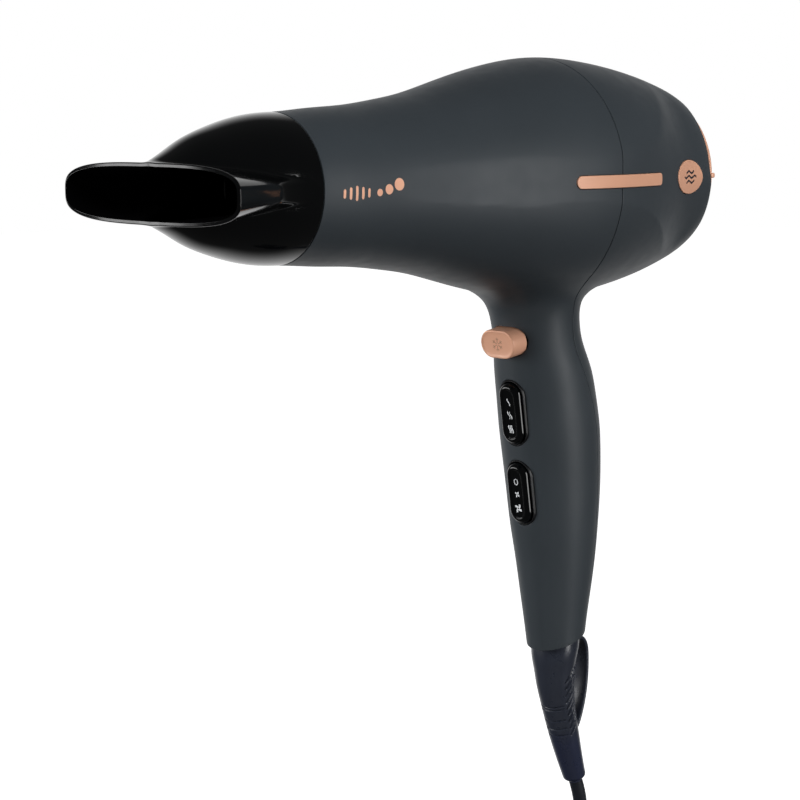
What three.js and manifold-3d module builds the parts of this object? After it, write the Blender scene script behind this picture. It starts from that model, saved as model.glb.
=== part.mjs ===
// Hand-held hair dryer with a slot nozzle, modelled as the separate pieces it is assembled from.
// Millimetres, +X the way the air leaves, +Y the user's left, +Z up, origin in the middle of the grip.
import * as THREE from 'three';
import { mergeVertices } from 'three/addons/utils/BufferGeometryUtils.js';
import Module from 'manifold-3d';

// ---------------------------------------------------------------------------------------------
// Driving dimensions
// ---------------------------------------------------------------------------------------------
const AXIS_Z = 100;            // height of the air duct's axis above the middle of the grip
const WALL = 2.4;              // casing wall
const GAP = 0.3;               // clearance left between neighbouring pieces
const SEAM_GAP = 0.3;          // joint between the front and rear casing

// Outer radius of the head along X, from the barrel's mouth to the intake.
const BARREL_FRONT_X = 146.3;
const HEAD_REAR_X = -58.3;
const HEAD_PROFILE = [
  [BARREL_FRONT_X, 26.7], [130, 27.9], [112, 29.0], [95, 31.0], [80, 33.4], [64, 37.2], [48, 41.2],
  [33, 44.3], [14, 46.6], [-4, 46.0], [-22, 43.7], [-37, 40.8], [-48, 38.0], [HEAD_REAR_X, 34.4],
];
// Half-width of the head's flat side bands along X.
const BAND_PROFILE = [
  [150, 26.4], [112, 28.5], [80, 32.8], [48, 40.5], [14, 45.9], [-7, 44.3], [-20, 41.4],
  [-31, 38.0], [-38, 36.2], [-46, 35.9], [HEAD_REAR_X - 4, 35.9],
];

// Handle sections: height, centre x, half-depth along X, half-width along Y.
const HANDLE_SECTIONS = [
  [74, 15, 38, 27], [62, 13.6, 31.5, 24.5], [56, 12.0, 24.2, 20.6], [50, 10.6, 19.4, 18.0],
  [44, 9.5, 18.0, 17.2], [36, 7.9, 18.2, 17.2], [26, 5.2, 19.7, 18.6], [14, 2.7, 20.5, 19.3],
  [2, 0.8, 20.8, 19.6], [-10, -0.6, 20.4, 19.2], [-24, -1.8, 19.5, 18.4], [-38, -2.5, 18.3, 17.3],
  [-52, -3.3, 16.6, 15.8], [-66, -3.5, 14.7, 14.1], [-80, -3.6, 12.8, 12.3], [-94, -3.9, 11.2, 10.9],
];
const HANDLE_END = { x: -4, z: -85.7, slope: 0.317 };   // slanted cut at the bottom of the handle

// Casing joint: x of the joint at each height.
const SEAM = [
  [160, 11.5], [76, 11.5], [66, 10.4], [58, 8.2], [50, 6.4], [41, 6.0], [32, 4.0], [19.5, -1.2],
  [3.5, -6.6], [-9, -8.4], [-28, -9.8], [-45, -11.0], [-100, -12.4],
];

// Nozzle
const NOZZLE_REAR_X = 146.6;
const NOZZLE_FRONT_X = 200.9;
const NOZZLE_WALL = 1.3;
const SPIGOT = { rear: 139.6, outer: 23.8, wall: 1.2 };
const SLOT_HALF_WIDTH = 46.7;
const SLOT_HALF_HEIGHT = 10.4;

// Controls on the front of the handle, each set square to the surface
const CONTROL_TILT = THREE.MathUtils.degToRad(8.5);
const COLD_SHOT = { x: 27.0, z: 37.0, width: 17.4, height: 11.2, proud: 4.6, depth: 3.0, edge: 0.9 };
const ROCKER = { width: 10.6, length: 24.8, proud: 2.4, depth: 4.6, pivot: -2.0 };
const HEAT_POS = { x: 22.3, z: 8.5 };
const SPEED_POS = { x: 17.7, z: -23.8 };

// Motor and fan
const FAN_RADIUS = 38.4;
const SHAFT_RADIUS = 1.6;
const BORE_RADIUS = SHAFT_RADIUS + GAP;

// Lead
const CORD_RADIUS = 2.85;
const CORD_SIDES = 10;
const HANK = { x: -5.4, top: -206, bottom: -320, turnRadius: 17.1, firstY: -6, pitch: 5.85, turns: 5 };

// ---------------------------------------------------------------------------------------------
// Materials
// ---------------------------------------------------------------------------------------------
const finish = (color, roughness, metalness = 0) =>
  new THREE.MeshStandardMaterial({ color, roughness, metalness });
const GRAPHITE = () => finish(0x34393c, 0.55);
const GLOSS_BLACK = () => finish(0x08090a, 0.12);
const SATIN_BLACK = () => finish(0x141517, 0.45);
const ROSE_GOLD = () => finish(0xdda080, 0.35, 0.8);
const RUBBER = () => finish(0x15171c, 0.7);
const STEEL = () => finish(0xb9bcc0, 0.3, 1);
const COPPER = () => finish(0xb8683a, 0.35, 1);
const MICA = () => finish(0xb79a74, 0.6);
const NYLON = () => finish(0xd9d7cf, 0.6);
const BOARD_GREEN = () => finish(0x1f5a35, 0.5);

// ---------------------------------------------------------------------------------------------
// Solids
// ---------------------------------------------------------------------------------------------
const wasm = await Module();
wasm.setup();

function toSolid(geometry) {
  const bare = geometry.clone();
  bare.deleteAttribute('normal');
  bare.deleteAttribute('uv');
  const merged = mergeVertices(bare, 1e-4);
  return new wasm.Manifold(new wasm.Mesh({
    numProp: 3,
    vertProperties: new Float32Array(merged.attributes.position.array),
    triVerts: new Uint32Array(merged.index.array),
  }));
}

function toGeometry(solid) {
  const mesh = solid.getMesh();
  const geometry = new THREE.BufferGeometry();
  geometry.setAttribute('position', new THREE.BufferAttribute(new Float32Array(mesh.vertProperties), 3));
  geometry.setIndex(new THREE.BufferAttribute(new Uint32Array(mesh.triVerts), 1));
  return geometry;
}

const join = (first, ...rest) => rest.reduce((sum, next) => sum.add(next), first);
const cut = (first, ...rest) => rest.reduce((left, next) => left.subtract(next), first);
const mirrored = (solid) => solid.mirror([0, 1, 0]);

// Linear look-up in rows of [key, value, ...], whose keys run upward or downward.
function rowAt(rows, key) {
  const up = rows[1][0] > rows[0][0];
  const past = (row) => (up ? row[0] >= key : row[0] <= key);
  const next = Math.max(1, rows.findIndex(past) === -1 ? rows.length - 1 : rows.findIndex(past));
  const [a, b] = [rows[next - 1], rows[next]];
  const t = THREE.MathUtils.clamp((key - a[0]) / (b[0] - a[0]), 0, 1);
  return a.map((value, i) => THREE.MathUtils.lerp(value, b[i], t));
}

// A smooth curve through [x, y] rows, sampled evenly.
function smooth(rows, steps) {
  const curve = new THREE.SplineCurve(rows.map(([x, y]) => new THREE.Vector2(x, y)));
  return curve.getPoints(steps).map((p) => [p.x, p.y]);
}

// A body of revolution about the duct's axis, from a closed or axis-ended profile of [x, radius].
function turned(profile, segments = 32) {
  const geometry = new THREE.LatheGeometry(profile.map(([x, r]) => new THREE.Vector2(r, x)), segments);
  geometry.rotateZ(-Math.PI / 2);
  const solid = toSolid(geometry);
  return (solid.volume() > 0 ? solid : toSolid(flipped(geometry))).translate([0, 0, AXIS_Z]);
}

function flipped(geometry) {
  const other = geometry.clone();
  const index = other.index.array;
  for (let i = 0; i < index.length; i += 3) [index[i], index[i + 1]] = [index[i + 1], index[i]];
  return other;
}

const turnedRing = (x0, x1, inner, outer, segments = 32) =>
  turned([[x0, inner], [x1, inner], [x1, outer], [x0, outer], [x0, inner]], segments);
const turnedDisc = (x0, x1, radius, segments = 32) =>
  turned([[x0, 0], [x0, radius], [x1, radius], [x1, 0]], segments);

// A cylinder of unit radius whose rings are moved to sections: place(t, angle, rim) gives a point,
// with t from 0 to 1 along the loft and rim 0 at the cap centres and 1 on the surface.
function loft(rings, segments, place) {
  const geometry = new THREE.CylinderGeometry(1, 1, 1, segments, rings);
  const position = geometry.attributes.position;
  for (let i = 0; i < position.count; i += 1) {
    const [x, y, z] = [position.getX(i), position.getY(i), position.getZ(i)];
    const rim = Math.min(1, Math.hypot(x, z));
    const point = place(y + 0.5, Math.atan2(z, x), rim < 0.5 ? 0 : 1);
    position.setXYZ(i, point[0], point[1], point[2]);
  }
  const solid = toSolid(geometry);
  return solid.volume() > 0 ? solid : toSolid(flipped(mergeVertices(geometry)));
}

function box(x0, x1, y0, y1, z0, z1) {
  const geometry = new THREE.BoxGeometry(x1 - x0, y1 - y0, z1 - z0);
  geometry.translate((x0 + x1) / 2, (y0 + y1) / 2, (z0 + z1) / 2);
  return toSolid(geometry);
}

// A cylinder along X between two x values.
function rod(x0, x1, y, z, radius, segments = 20) {
  const geometry = new THREE.CylinderGeometry(radius, radius, x1 - x0, segments);
  geometry.rotateZ(-Math.PI / 2);
  geometry.translate((x0 + x1) / 2, y, z);
  return toSolid(geometry);
}

// A pill in the YZ plane, drawn out along X.
function pill(x0, x1, width, length, segments = 5) {
  const radius = Math.min(width, length) / 2;
  const [w, l] = [width / 2 - radius, length / 2 - radius];
  const shape = new THREE.Shape();
  shape.absarc(w, l, radius, 0, Math.PI / 2);
  shape.absarc(-w, l, radius, Math.PI / 2, Math.PI);
  shape.absarc(-w, -l, radius, Math.PI, 1.5 * Math.PI);
  shape.absarc(w, -l, radius, 1.5 * Math.PI, 2 * Math.PI);
  const geometry = new THREE.ExtrudeGeometry(shape, {
    depth: x1 - x0, bevelEnabled: false, curveSegments: segments,
  });
  geometry.applyMatrix4(new THREE.Matrix4().makeBasis(
    new THREE.Vector3(0, 1, 0), new THREE.Vector3(0, 0, 1), new THREE.Vector3(1, 0, 0),
  ));
  geometry.translate(x0, 0, 0);
  return toSolid(geometry);
}

// A flat outline of [x, z] or [x, y] points drawn out evenly to both sides of its plane.
function drawnOut(points, halfDepth, plane) {
  const shape = new THREE.Shape(points.map(([a, b]) => new THREE.Vector2(a, b)));
  const geometry = new THREE.ExtrudeGeometry(shape, { depth: 2 * halfDepth, bevelEnabled: false });
  geometry.translate(0, 0, -halfDepth);
  if (plane === 'xz') geometry.rotateX(Math.PI / 2);
  const solid = toSolid(geometry);
  return solid.volume() > 0 ? solid : toSolid(flipped(mergeVertices(geometry)));
}

// A round tube along a list of points.
function tube(points, radius, steps, sides) {
  const path = new THREE.CatmullRomCurve3(points.map((p) => new THREE.Vector3(...p)), false, 'centripetal');
  const section = new THREE.Shape(Array.from({ length: sides }, (_, i) => {
    const angle = (2 * Math.PI * i) / sides;
    return new THREE.Vector2(radius * Math.cos(angle), radius * Math.sin(angle));
  }));
  return toSolid(new THREE.ExtrudeGeometry(section, { steps, extrudePath: path, bevelEnabled: false }));
}

// ---------------------------------------------------------------------------------------------
// Assembly
// ---------------------------------------------------------------------------------------------
const dryer = new THREE.Group();

function add(name, solid, material, group = dryer) {
  const mesh = new THREE.Mesh(toGeometry(solid), material);
  mesh.name = name;
  group.add(mesh);
  return mesh;
}

function controlGroup({ x, z }) {
  const group = new THREE.Group();
  group.position.set(x, 0, z);
  group.rotation.y = CONTROL_TILT;
  dryer.add(group);
  return group;
}

// The same placing for a solid that cuts the casing.
const asControl = (solid, { x, z }) =>
  solid.rotate([0, THREE.MathUtils.radToDeg(CONTROL_TILT), 0]).translate([x, 0, z]);

// ---------------------------------------------------------------------------------------------
// Casing
// ---------------------------------------------------------------------------------------------
function headSolid(inset) {
  const profile = smooth(HEAD_PROFILE, inset > 0 ? 11 : 16).map(([x, r]) => [x, r - inset]);
  const overrun = inset > 0 ? 5 : 0;
  const front = [BARREL_FRONT_X + overrun, profile[0][1]];
  const rear = [HEAD_REAR_X + (inset > 0 ? WALL : 0), profile.at(-1)[1]];
  const inner = profile.slice(1, -1);
  const round = turned([[front[0], 0], front, ...inner, rear, [rear[0], 0]], inset > 0 ? 24 : 32);
  const side = smooth(BAND_PROFILE, 14).map(([x, y]) => [x, y - inset]);
  const outline = [...side, ...side.map(([x, y]) => [x, -y]).reverse()];
  const start = outline[0];
  outline.push([start[0] + 20, -start[1]], [start[0] + 20, start[1]]);
  return round.intersect(drawnOut(outline, 200, 'xy'));
}

function handleSolid(inset) {
  const topZ = HANDLE_SECTIONS[0][0];
  const bottomZ = HANDLE_SECTIONS.at(-1)[0];
  const solid = loft(inset > 0 ? 10 : 14, inset > 0 ? 16 : 22, (t, angle, rim) => {
    const z = THREE.MathUtils.lerp(bottomZ, topZ, t);
    const [, x, depth, width] = rowAt(HANDLE_SECTIONS, z);
    return [x + rim * (depth - inset) * Math.cos(angle), rim * (width - inset) * Math.sin(angle), z];
  });
  return inset > 0 ? solid : solid.subtract(belowHandle());
}

// Everything below the slanted end of the handle.
function belowHandle(drop = 0) {
  const reach = 60;
  const edge = (x) => HANDLE_END.z - drop - HANDLE_END.slope * (x - HANDLE_END.x);
  return drawnOut([[-reach, edge(-reach)], [-reach, -200], [reach, -200], [reach, edge(reach)]], 60, 'xz');
}

// Everything in front of the casing joint, moved by an offset.
function aheadOfSeam(offset) {
  const line = smooth(SEAM, 15).map(([z, x]) => [x + offset, z]);
  return drawnOut([...line, [260, -100], [260, 160]], 90, 'xz');
}

function controlHoles() {
  const coldHole = pill(-12, 12, COLD_SHOT.width + 0.9, COLD_SHOT.height + 0.9);
  const rockerHole = pill(-12, 12, ROCKER.width + 2.8, ROCKER.length + 3.0);
  return [asControl(coldHole, COLD_SHOT), asControl(rockerHole, HEAT_POS), asControl(rockerHole, SPEED_POS)];
}

// Side inlay: a bar that follows the flat band; the pocket is the same bar with a gap all round.
const INLAY = { front: 35.2, rear: -15.4, halfHeight: 2.4, proud: 0.5, sunk: 0.9 };
function inlaySolid(grow) {
  const x = [0, 0.25, 0.5, 0.75, 1].map((t) =>
    THREE.MathUtils.lerp(INLAY.front + grow, INLAY.rear - grow, t));
  const rows = smooth(BAND_PROFILE, 60);
  const bandAt = (at) => rowAt(rows, at)[1];
  const outer = x.map((at) => [at, bandAt(at) + INLAY.proud + (grow > 0 ? 2 : 0)]);
  const inner = x.map((at) => [at, bandAt(at) - INLAY.sunk - grow]).reverse();
  return drawnOut([...outer, ...inner], INLAY.halfHeight + grow, 'xy').translate([0, 0, AXIS_Z]);
}

// Side badge: an oval disc let into the flat at the rear.
const BADGE = { x: -40.4, halfLength: 10.2, halfHeight: 6.7, seat: 35.1, face: 36.5 };
function badgeSolid(grow) {
  return loft(1, 28, (t, angle, rim) => [
    BADGE.x + rim * (BADGE.halfLength + grow) * Math.cos(angle),
    THREE.MathUtils.lerp(BADGE.seat - grow, BADGE.face + 4 * grow, t),
    AXIS_Z + rim * (BADGE.halfHeight + grow) * Math.sin(angle),
  ]);
}

const INTAKE_OPENING_RADIUS = 30.9;
const SCREWS = [   // height, x of the head's seat, x of the tip
  { z: 45, head: -8.6, tip: 10.2 },
  { z: -58, head: -18.3, tip: -7.4 },
];

function screwHoles({ z, head, tip }) {
  return join(rod(head - 6, head + 1.6, 0, z, 2.9), rod(head, tip + 0.6, 0, z, 1.55));
}

function casingPieces() {
  const cavity = join(headSolid(WALL), handleSolid(WALL).subtract(belowHandle(-WALL)));
  const passage = sleeveSolid(GAP);
  const intake = turnedDisc(HEAD_REAR_X - 5, HEAD_REAR_X + 8, INTAKE_OPENING_RADIUS, 36);
  const pockets = [inlaySolid(GAP), badgeSolid(GAP)];
  const shell = cut(
    join(headSolid(0), handleSolid(0)), cavity, passage, intake,
    ...controlHoles(), ...pockets, ...pockets.map(mirrored),
  );
  // Webs across the inside of the front casing, into which the two casing screws bite.
  const wholeBody = join(headSolid(0.4), handleSolid(0.4));
  const webs = join(box(6.8, 10.6, -18, 18, 42, 48), box(-10.9, -7.0, -16, 16, -61, -55))
    .intersect(wholeBody);
  const holes = SCREWS.map(screwHoles);
  const front = cut(join(shell.intersect(aheadOfSeam(SEAM_GAP / 2)), webs), ...holes);
  const rear = cut(shell.subtract(aheadOfSeam(-SEAM_GAP / 2)), ...holes);
  return { front, rear };
}

function addCasing() {
  const { front, rear } = casingPieces();
  add('front_casing', front, GRAPHITE());
  add('rear_casing', rear, GRAPHITE());
  add('side_inlay_left', inlaySolid(0), ROSE_GOLD());
  add('side_inlay_right', mirrored(inlaySolid(0)), ROSE_GOLD());
  add('side_badge_left', badgeSolid(0), ROSE_GOLD());
  add('side_badge_right', mirrored(badgeSolid(0)), ROSE_GOLD());
  SCREWS.forEach(({ z, head, tip }, i) => {
    const screw = join(rod(head - 0.6, head + 1.3, 0, z, 2.5), rod(head + 1, tip, 0, z, 1.2, 12));
    add(`casing_screw_${i + 1}`, screw, STEEL());
  });
}

// ---------------------------------------------------------------------------------------------
// Rear intake: trim ring with finger tabs, slotted cover and filter, which twist off together
// ---------------------------------------------------------------------------------------------
const RING_INNER = 31.5;
const COVER = { rear: HEAD_REAR_X - 1.9, front: HEAD_REAR_X - 0.4, radius: RING_INNER - GAP };
const COVER_SLOTS = { count: 16, inner: 9, outer: 27.5, halfWidth: 1.5 };
function addIntake() {
  const ring = turned([
    [HEAD_REAR_X - GAP, RING_INNER], [HEAD_REAR_X - GAP, 33.0], [HEAD_REAR_X - 1.7, 32.8],
    [HEAD_REAR_X - 2.1, 32.3], [HEAD_REAR_X - 2.1, RING_INNER], [HEAD_REAR_X - GAP, RING_INNER],
  ], 36);
  const tab = box(HEAD_REAR_X - 2.6, HEAD_REAR_X - 0.4, 31.8, 33.6, AXIS_Z - 1.0, AXIS_Z + 1.0);
  add('intake_ring', join(ring, tab, mirrored(tab)), ROSE_GOLD());

  const { count, inner, outer, halfWidth } = COVER_SLOTS;
  const slots = Array.from({ length: count }, (_, i) =>
    box(-70, -50, inner, outer, -halfWidth, halfWidth)
      .rotate([(360 * i) / count, 0, 0]).translate([0, 0, AXIS_Z]));
  add('intake_cover', cut(turnedDisc(COVER.rear, COVER.front, COVER.radius, 36), ...slots), SATIN_BLACK());
  add('filter_mesh', turnedDisc(HEAD_REAR_X + 0.2, HEAD_REAR_X + 1, 30.3, 30), STEEL());
}

// ---------------------------------------------------------------------------------------------
// Nozzle: a dome that narrows to the slot, with a wing on each side
// ---------------------------------------------------------------------------------------------
const DOME_SECTIONS = [   // x, half-width, half-height
  [NOZZLE_REAR_X, 26.7, 26.7], [156, 26.2, 26.1], [165, 24.7, 24.5], [174, 22.4, 22.0], [183, 19.2, 18.7],
  [191.5, 15.2, 14.4], [NOZZLE_FRONT_X, 10.5, 9.8],
];
const WING_SECTIONS = [   // x, half-width, half-height
  [156, 23.0, 6.4], [165, 27.9, 7.0], [180, 35.8, 8.1], [191.5, 41.8, 9.3],
  [NOZZLE_FRONT_X, SLOT_HALF_WIDTH, SLOT_HALF_HEIGHT],
];

// Superellipse section: power 1 is an ellipse, less than 1 fills the corners.
const signedPower = (value, power) => Math.sign(value) * Math.abs(value) ** power;
function sectionLoft(sections, inset, rings, segments, power) {
  const [x0, x1] = [sections[0][0], sections.at(-1)[0]];
  const front = x1 + (inset > 0 ? 1 : 0);
  const rear = x0 - (inset > 0 ? 1 : 0);
  return loft(rings, segments, (t, angle, rim) => {
    const x = THREE.MathUtils.lerp(rear, front, t);
    const [, width, height] = rowAt(sections, THREE.MathUtils.clamp(x, x0, x1));
    return [
      x,
      rim * (width - inset) * signedPower(Math.cos(angle), power),
      AXIS_Z + rim * (height - inset) * signedPower(Math.sin(angle), power),
    ];
  });
}

function addNozzle() {
  const outer = join(
    sectionLoft(DOME_SECTIONS, 0, 6, 28, 1),
    sectionLoft(WING_SECTIONS, 0, 3, 20, 0.62),
  );
  const inner = join(
    sectionLoft(DOME_SECTIONS, NOZZLE_WALL, 6, 24, 1),
    sectionLoft(WING_SECTIONS, NOZZLE_WALL, 3, 16, 0.62),
  );
  const spigot = turnedRing(SPIGOT.rear, NOZZLE_REAR_X + 2, SPIGOT.outer - SPIGOT.wall, SPIGOT.outer, 32);
  const shoulder = turnedRing(NOZZLE_REAR_X, NOZZLE_REAR_X + 2, SPIGOT.outer - SPIGOT.wall, 26, 32);
  const bore = turnedDisc(NOZZLE_REAR_X - 2, NOZZLE_REAR_X + 3, SPIGOT.outer - SPIGOT.wall, 32);
  add('concentrator_nozzle', join(cut(outer, inner, bore), spigot, shoulder), GLOSS_BLACK());

}

// Grille across the barrel's mouth: two rings and a middle disc on spokes.
const GRILLE = { rear: 134.6, front: 137.2, spokes: 6, halfSpoke: 0.6 };
function addGrille() {
  const { rear, front, spokes, halfSpoke } = GRILLE;
  const rings = join(turnedRing(rear, front, 22.6, 24.4, 24), turnedRing(rear, front, 14.2, 15.4, 18),
    turnedDisc(rear, front, 6.5, 12));
  const bars = Array.from({ length: spokes }, (_, i) =>
    box(rear + 0.2, front - 0.2, 6, 23, -halfSpoke, halfSpoke)
      .rotate([(360 * i) / spokes, 0, 0]).translate([0, 0, AXIS_Z]));
  add('outlet_grille', join(rings, ...bars), SATIN_BLACK());
}

// ---------------------------------------------------------------------------------------------
// Controls
// ---------------------------------------------------------------------------------------------
function helix(x0, x1, radius, turns, wire, stepsPerTurn, sides, centre = [0, 0]) {
  const count = Math.round(turns * stepsPerTurn);
  const points = Array.from({ length: count + 1 }, (_, i) => {
    const angle = (2 * Math.PI * turns * i) / count;
    return [THREE.MathUtils.lerp(x0, x1, i / count), centre[0] + radius * Math.cos(angle),
      centre[1] + radius * Math.sin(angle)];
  });
  return tube(points, wire, count, sides);
}

function addColdShot() {
  const group = controlGroup(COLD_SHOT);
  const { width, height, proud, depth, edge } = COLD_SHOT;
  const button = join(
    pill(-depth, proud - edge, width, height, 6),
    pill(proud - edge - 0.1, proud - edge / 3, width - edge / 2, height - edge / 2, 6),
    pill(proud - edge / 3 - 0.1, proud, width - 1.5 * edge, height - 1.5 * edge, 6),
  );
  add('cold_shot_button', button, ROSE_GOLD(), group);
  add('cold_shot_spring', helix(-9.0, -depth - 0.7, 2.6, 3.5, 0.35, 8, 4), STEEL(), group);
  add('cold_shot_switch', box(-16.2, -9.7, -5.4, 5.4, -3.8, 3.8), SATIN_BLACK(), group);
}

function addRocker(name, place) {
  const group = controlGroup(place);
  const { width, length, proud, depth, pivot } = ROCKER;
  const bezel = cut(
    pill(-6.4, 0.1, width + 2.2, length + 2.4),
    pill(-8, 2, width + 0.8, length + 1.1),
  );
  add(`${name}_bezel`, bezel, SATIN_BLACK(), group);

  // The finger pad is hollowed a little from end to end.
  const hollow = new THREE.CylinderGeometry(60, 60, width + 4, 60);
  hollow.translate(60 + proud - 0.7, 0, 0);
  const pinHole = new THREE.CylinderGeometry(1.2, 1.2, width + 4, 14);
  pinHole.translate(pivot, 0, 0);
  const rocker = cut(pill(-depth, proud, width, length), toSolid(hollow), toSolid(pinHole));
  add(`${name}_rocker`, rocker, GLOSS_BLACK(), group);

  const pin = new THREE.CylinderGeometry(0.9, 0.9, width + 0.4, 12);
  pin.translate(pivot, 0, 0);
  add(`${name}_rocker_pin`, toSolid(pin), STEEL(), group);
  add(`${name}_switch_block`, box(-18.5, -7.0, -5.8, 5.8, -10.5, 10.5), SATIN_BLACK(), group);
}

// ---------------------------------------------------------------------------------------------
// Motor, fan and their housing
// ---------------------------------------------------------------------------------------------
function addMotor() {
  const duct = turnedRing(-10, 24, 39.4, 40.5, 28);
  const cup = cut(turnedDisc(11.5, 46, 25.4, 24), turnedDisc(9, 44.2, 23.7, 24), turnedDisc(40, 50, 3.8, 16));
  let housing = join(duct, cup);
  for (let i = 0; i < 8; i += 1) {
    housing = housing.add(box(12.5, 23.5, 24.6, 39.8, -0.7, 0.7).rotate([45 * i + 22.5, 0, 0])
      .translate([0, 0, AXIS_Z]));
  }
  add('motor_housing', housing, NYLON());
  add('motor_bracket', turnedRing(8.6, 10.9, 3.8, 23.6, 28), STEEL());

  const half = 16.4;
  const corner = 5;
  const stack = new THREE.Shape();
  stack.moveTo(half, -half + corner);
  stack.absarc(half - corner, half - corner, corner, 0, Math.PI / 2);
  stack.absarc(-half + corner, half - corner, corner, Math.PI / 2, Math.PI);
  stack.absarc(-half + corner, -half + corner, corner, Math.PI, 1.5 * Math.PI);
  stack.absarc(half - corner, -half + corner, corner, 1.5 * Math.PI, 2 * Math.PI);
  const block = new THREE.ExtrudeGeometry(stack, { depth: 18, bevelEnabled: false, curveSegments: 4 });
  block.rotateY(Math.PI / 2);
  block.translate(15, 0, AXIS_Z);
  add('motor_stator', cut(toSolid(block), turnedDisc(10, 40, 12.6, 28)), STEEL());

  for (const [side, turn] of [['upper', 90], ['lower', 270]]) {
    const sector = [];
    const span = THREE.MathUtils.degToRad(55);
    for (let i = 0; i <= 6; i += 1) {
      const angle = -span + (2 * span * i) / 6;
      sector.push([12.2 * Math.cos(angle), 12.2 * Math.sin(angle)]);
    }
    for (let i = 6; i >= 0; i -= 1) {
      const angle = -span + (2 * span * i) / 6;
      sector.push([10.3 * Math.cos(angle), 10.3 * Math.sin(angle)]);
    }
    // The outline lies across the shaft, so it is drawn out along Z and then turned onto X.
    const winding = drawnOut(sector, 12, 'xy').rotate([0, 0, turn]).rotate([0, 90, 0]).rotate([90, 0, 0])
      .translate([24, 0, AXIS_Z]);
    add(`field_coil_${side}`, winding, COPPER());
  }

  add('motor_armature', turnedRing(16, 32, BORE_RADIUS, 9.7, 24), COPPER());
  add('motor_commutator', turnedRing(34.5, 40, BORE_RADIUS, 5, 20), COPPER());
  add('brush_left', box(35, 39, 5.4, 11.5, AXIS_Z - 1.8, AXIS_Z + 1.8), SATIN_BLACK());
  add('brush_right', box(35, 39, -11.5, -5.4, AXIS_Z - 1.8, AXIS_Z + 1.8), SATIN_BLACK());
  add('motor_shaft', turnedDisc(-9.5, 46.5, SHAFT_RADIUS, 20), STEEL());
  add('front_bearing', turnedRing(43.6, 46.2, BORE_RADIUS, 3.5, 20), STEEL());
  add('rear_bearing', turnedRing(8.2, 11.3, BORE_RADIUS, 3.5, 20), STEEL());

  const hub = turned([[-8, BORE_RADIUS], [-8, 7], [-5.5, 9.6], [-2, 10.6], [6.5, 10.6], [6.5, BORE_RADIUS],
    [-8, BORE_RADIUS]], 24);
  const bladeCount = 9;
  let fan = hub;
  for (let i = 0; i < bladeCount; i += 1) {
    const blade = new THREE.BoxGeometry(12.5, 1.2, FAN_RADIUS - 9.9);
    blade.rotateZ(THREE.MathUtils.degToRad(38));
    blade.translate(0, 0, (FAN_RADIUS + 9.9) / 2);
    fan = fan.add(toSolid(blade).rotate([(360 * i) / bladeCount, 0, 0]).translate([-0.6, 0, AXIS_Z]));
  }
  add('fan_impeller', fan, SATIN_BLACK());
}

// ---------------------------------------------------------------------------------------------
// Heater and ioniser
// ---------------------------------------------------------------------------------------------
function addHeater() {
  add('mica_tube', turnedRing(66, 132, 22.5, 23.2, 32), MICA());
  const [x0, x1, half, mid] = [68, 129, 18.4, 98.5];
  const slot = 0.8;
  // Each board is slotted to the middle, so that the two cross.
  const plate = (from, to) => {
    const outline = [[x0, -half], [x1, -half], [x1, half], [x0, half]];
    const groove = box(from, to, -slot, slot, -5, 5);
    return cut(drawnOut(outline, 0.5, 'xy'), groove);
  };
  add('mica_board_level', plate(mid - GAP, x1 + 2).translate([0, 0, AXIS_Z]), MICA());
  add('mica_board_upright', plate(x0 - 2, mid + GAP).rotate([90, 0, 0]).translate([0, 0, AXIS_Z]), MICA());
  add('heating_coil', helix(74, 124, 20.2, 6, 0.7, 12, 4, [0, AXIS_Z]), STEEL());
  add('thermal_cutout', box(76, 87, 5.5, 12, AXIS_Z + 1, AXIS_Z + 5.2), NYLON());
  add('ion_generator', box(47.5, 64.5, -8, 8, AXIS_Z + 23.6, AXIS_Z + 30.4), SATIN_BLACK());
  add('ion_needle', rod(64.9, 133.6, 0, AXIS_Z + 24.2, 0.55, 10), STEEL());
}

// ---------------------------------------------------------------------------------------------
// Inside the handle
// ---------------------------------------------------------------------------------------------
const TAIL_X = -3.8;
const WIRE_RADIUS = 0.9;
const WIRE_ROUTE = [
  [-1.5, 7, 29], [5, 9, 33], [12.6, 10.2, 39.5], [13, 10.6, 47], [15.5, 11, 56], [26, 11.5, 60.2],
  [36, 11.5, 65], [50, 11, 73], [60, 9, 83], [66, 8, 92],
];
function addHandleInside() {
  add('control_board', box(-4.6, -3.0, -11.6, 11.6, -50, 27), BOARD_GREEN());
  add('cord_tail', rod(0, 26, 0, 0, CORD_RADIUS, 16).rotate([0, 90, 0]).translate([TAIL_X, 0, -53]), RUBBER());

  const bar = { x: TAIL_X + CORD_RADIUS + GAP, z: -68, thickness: 3.2, halfLength: 8, halfHeight: 3.5 };
  const screwRows = [5.6, -5.6];
  const holes = screwRows.map((y) => rod(bar.x - 2, bar.x + 6, y, bar.z, 1.5, 14));
  const barSolid = box(bar.x, bar.x + bar.thickness, -bar.halfLength, bar.halfLength,
    bar.z - bar.halfHeight, bar.z + bar.halfHeight);
  add('cord_clamp', cut(barSolid, ...holes), NYLON());
  screwRows.forEach((y, i) => {
    const headX = bar.x + bar.thickness + GAP;
    const head = rod(headX, headX + 1.4, y, bar.z, 2.2, 14);
    const screw = join(head, rod(bar.x - 6, headX + 0.5, y, bar.z, 1.15, 12));
    add(`clamp_screw_${i + 1}`, screw, STEEL());
  });

  add('lead_wire_left', tube(WIRE_ROUTE, WIRE_RADIUS, 16, 6), COPPER());
  add('lead_wire_right', mirrored(tube(WIRE_ROUTE, WIRE_RADIUS, 16, 6)), RUBBER());
}

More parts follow.
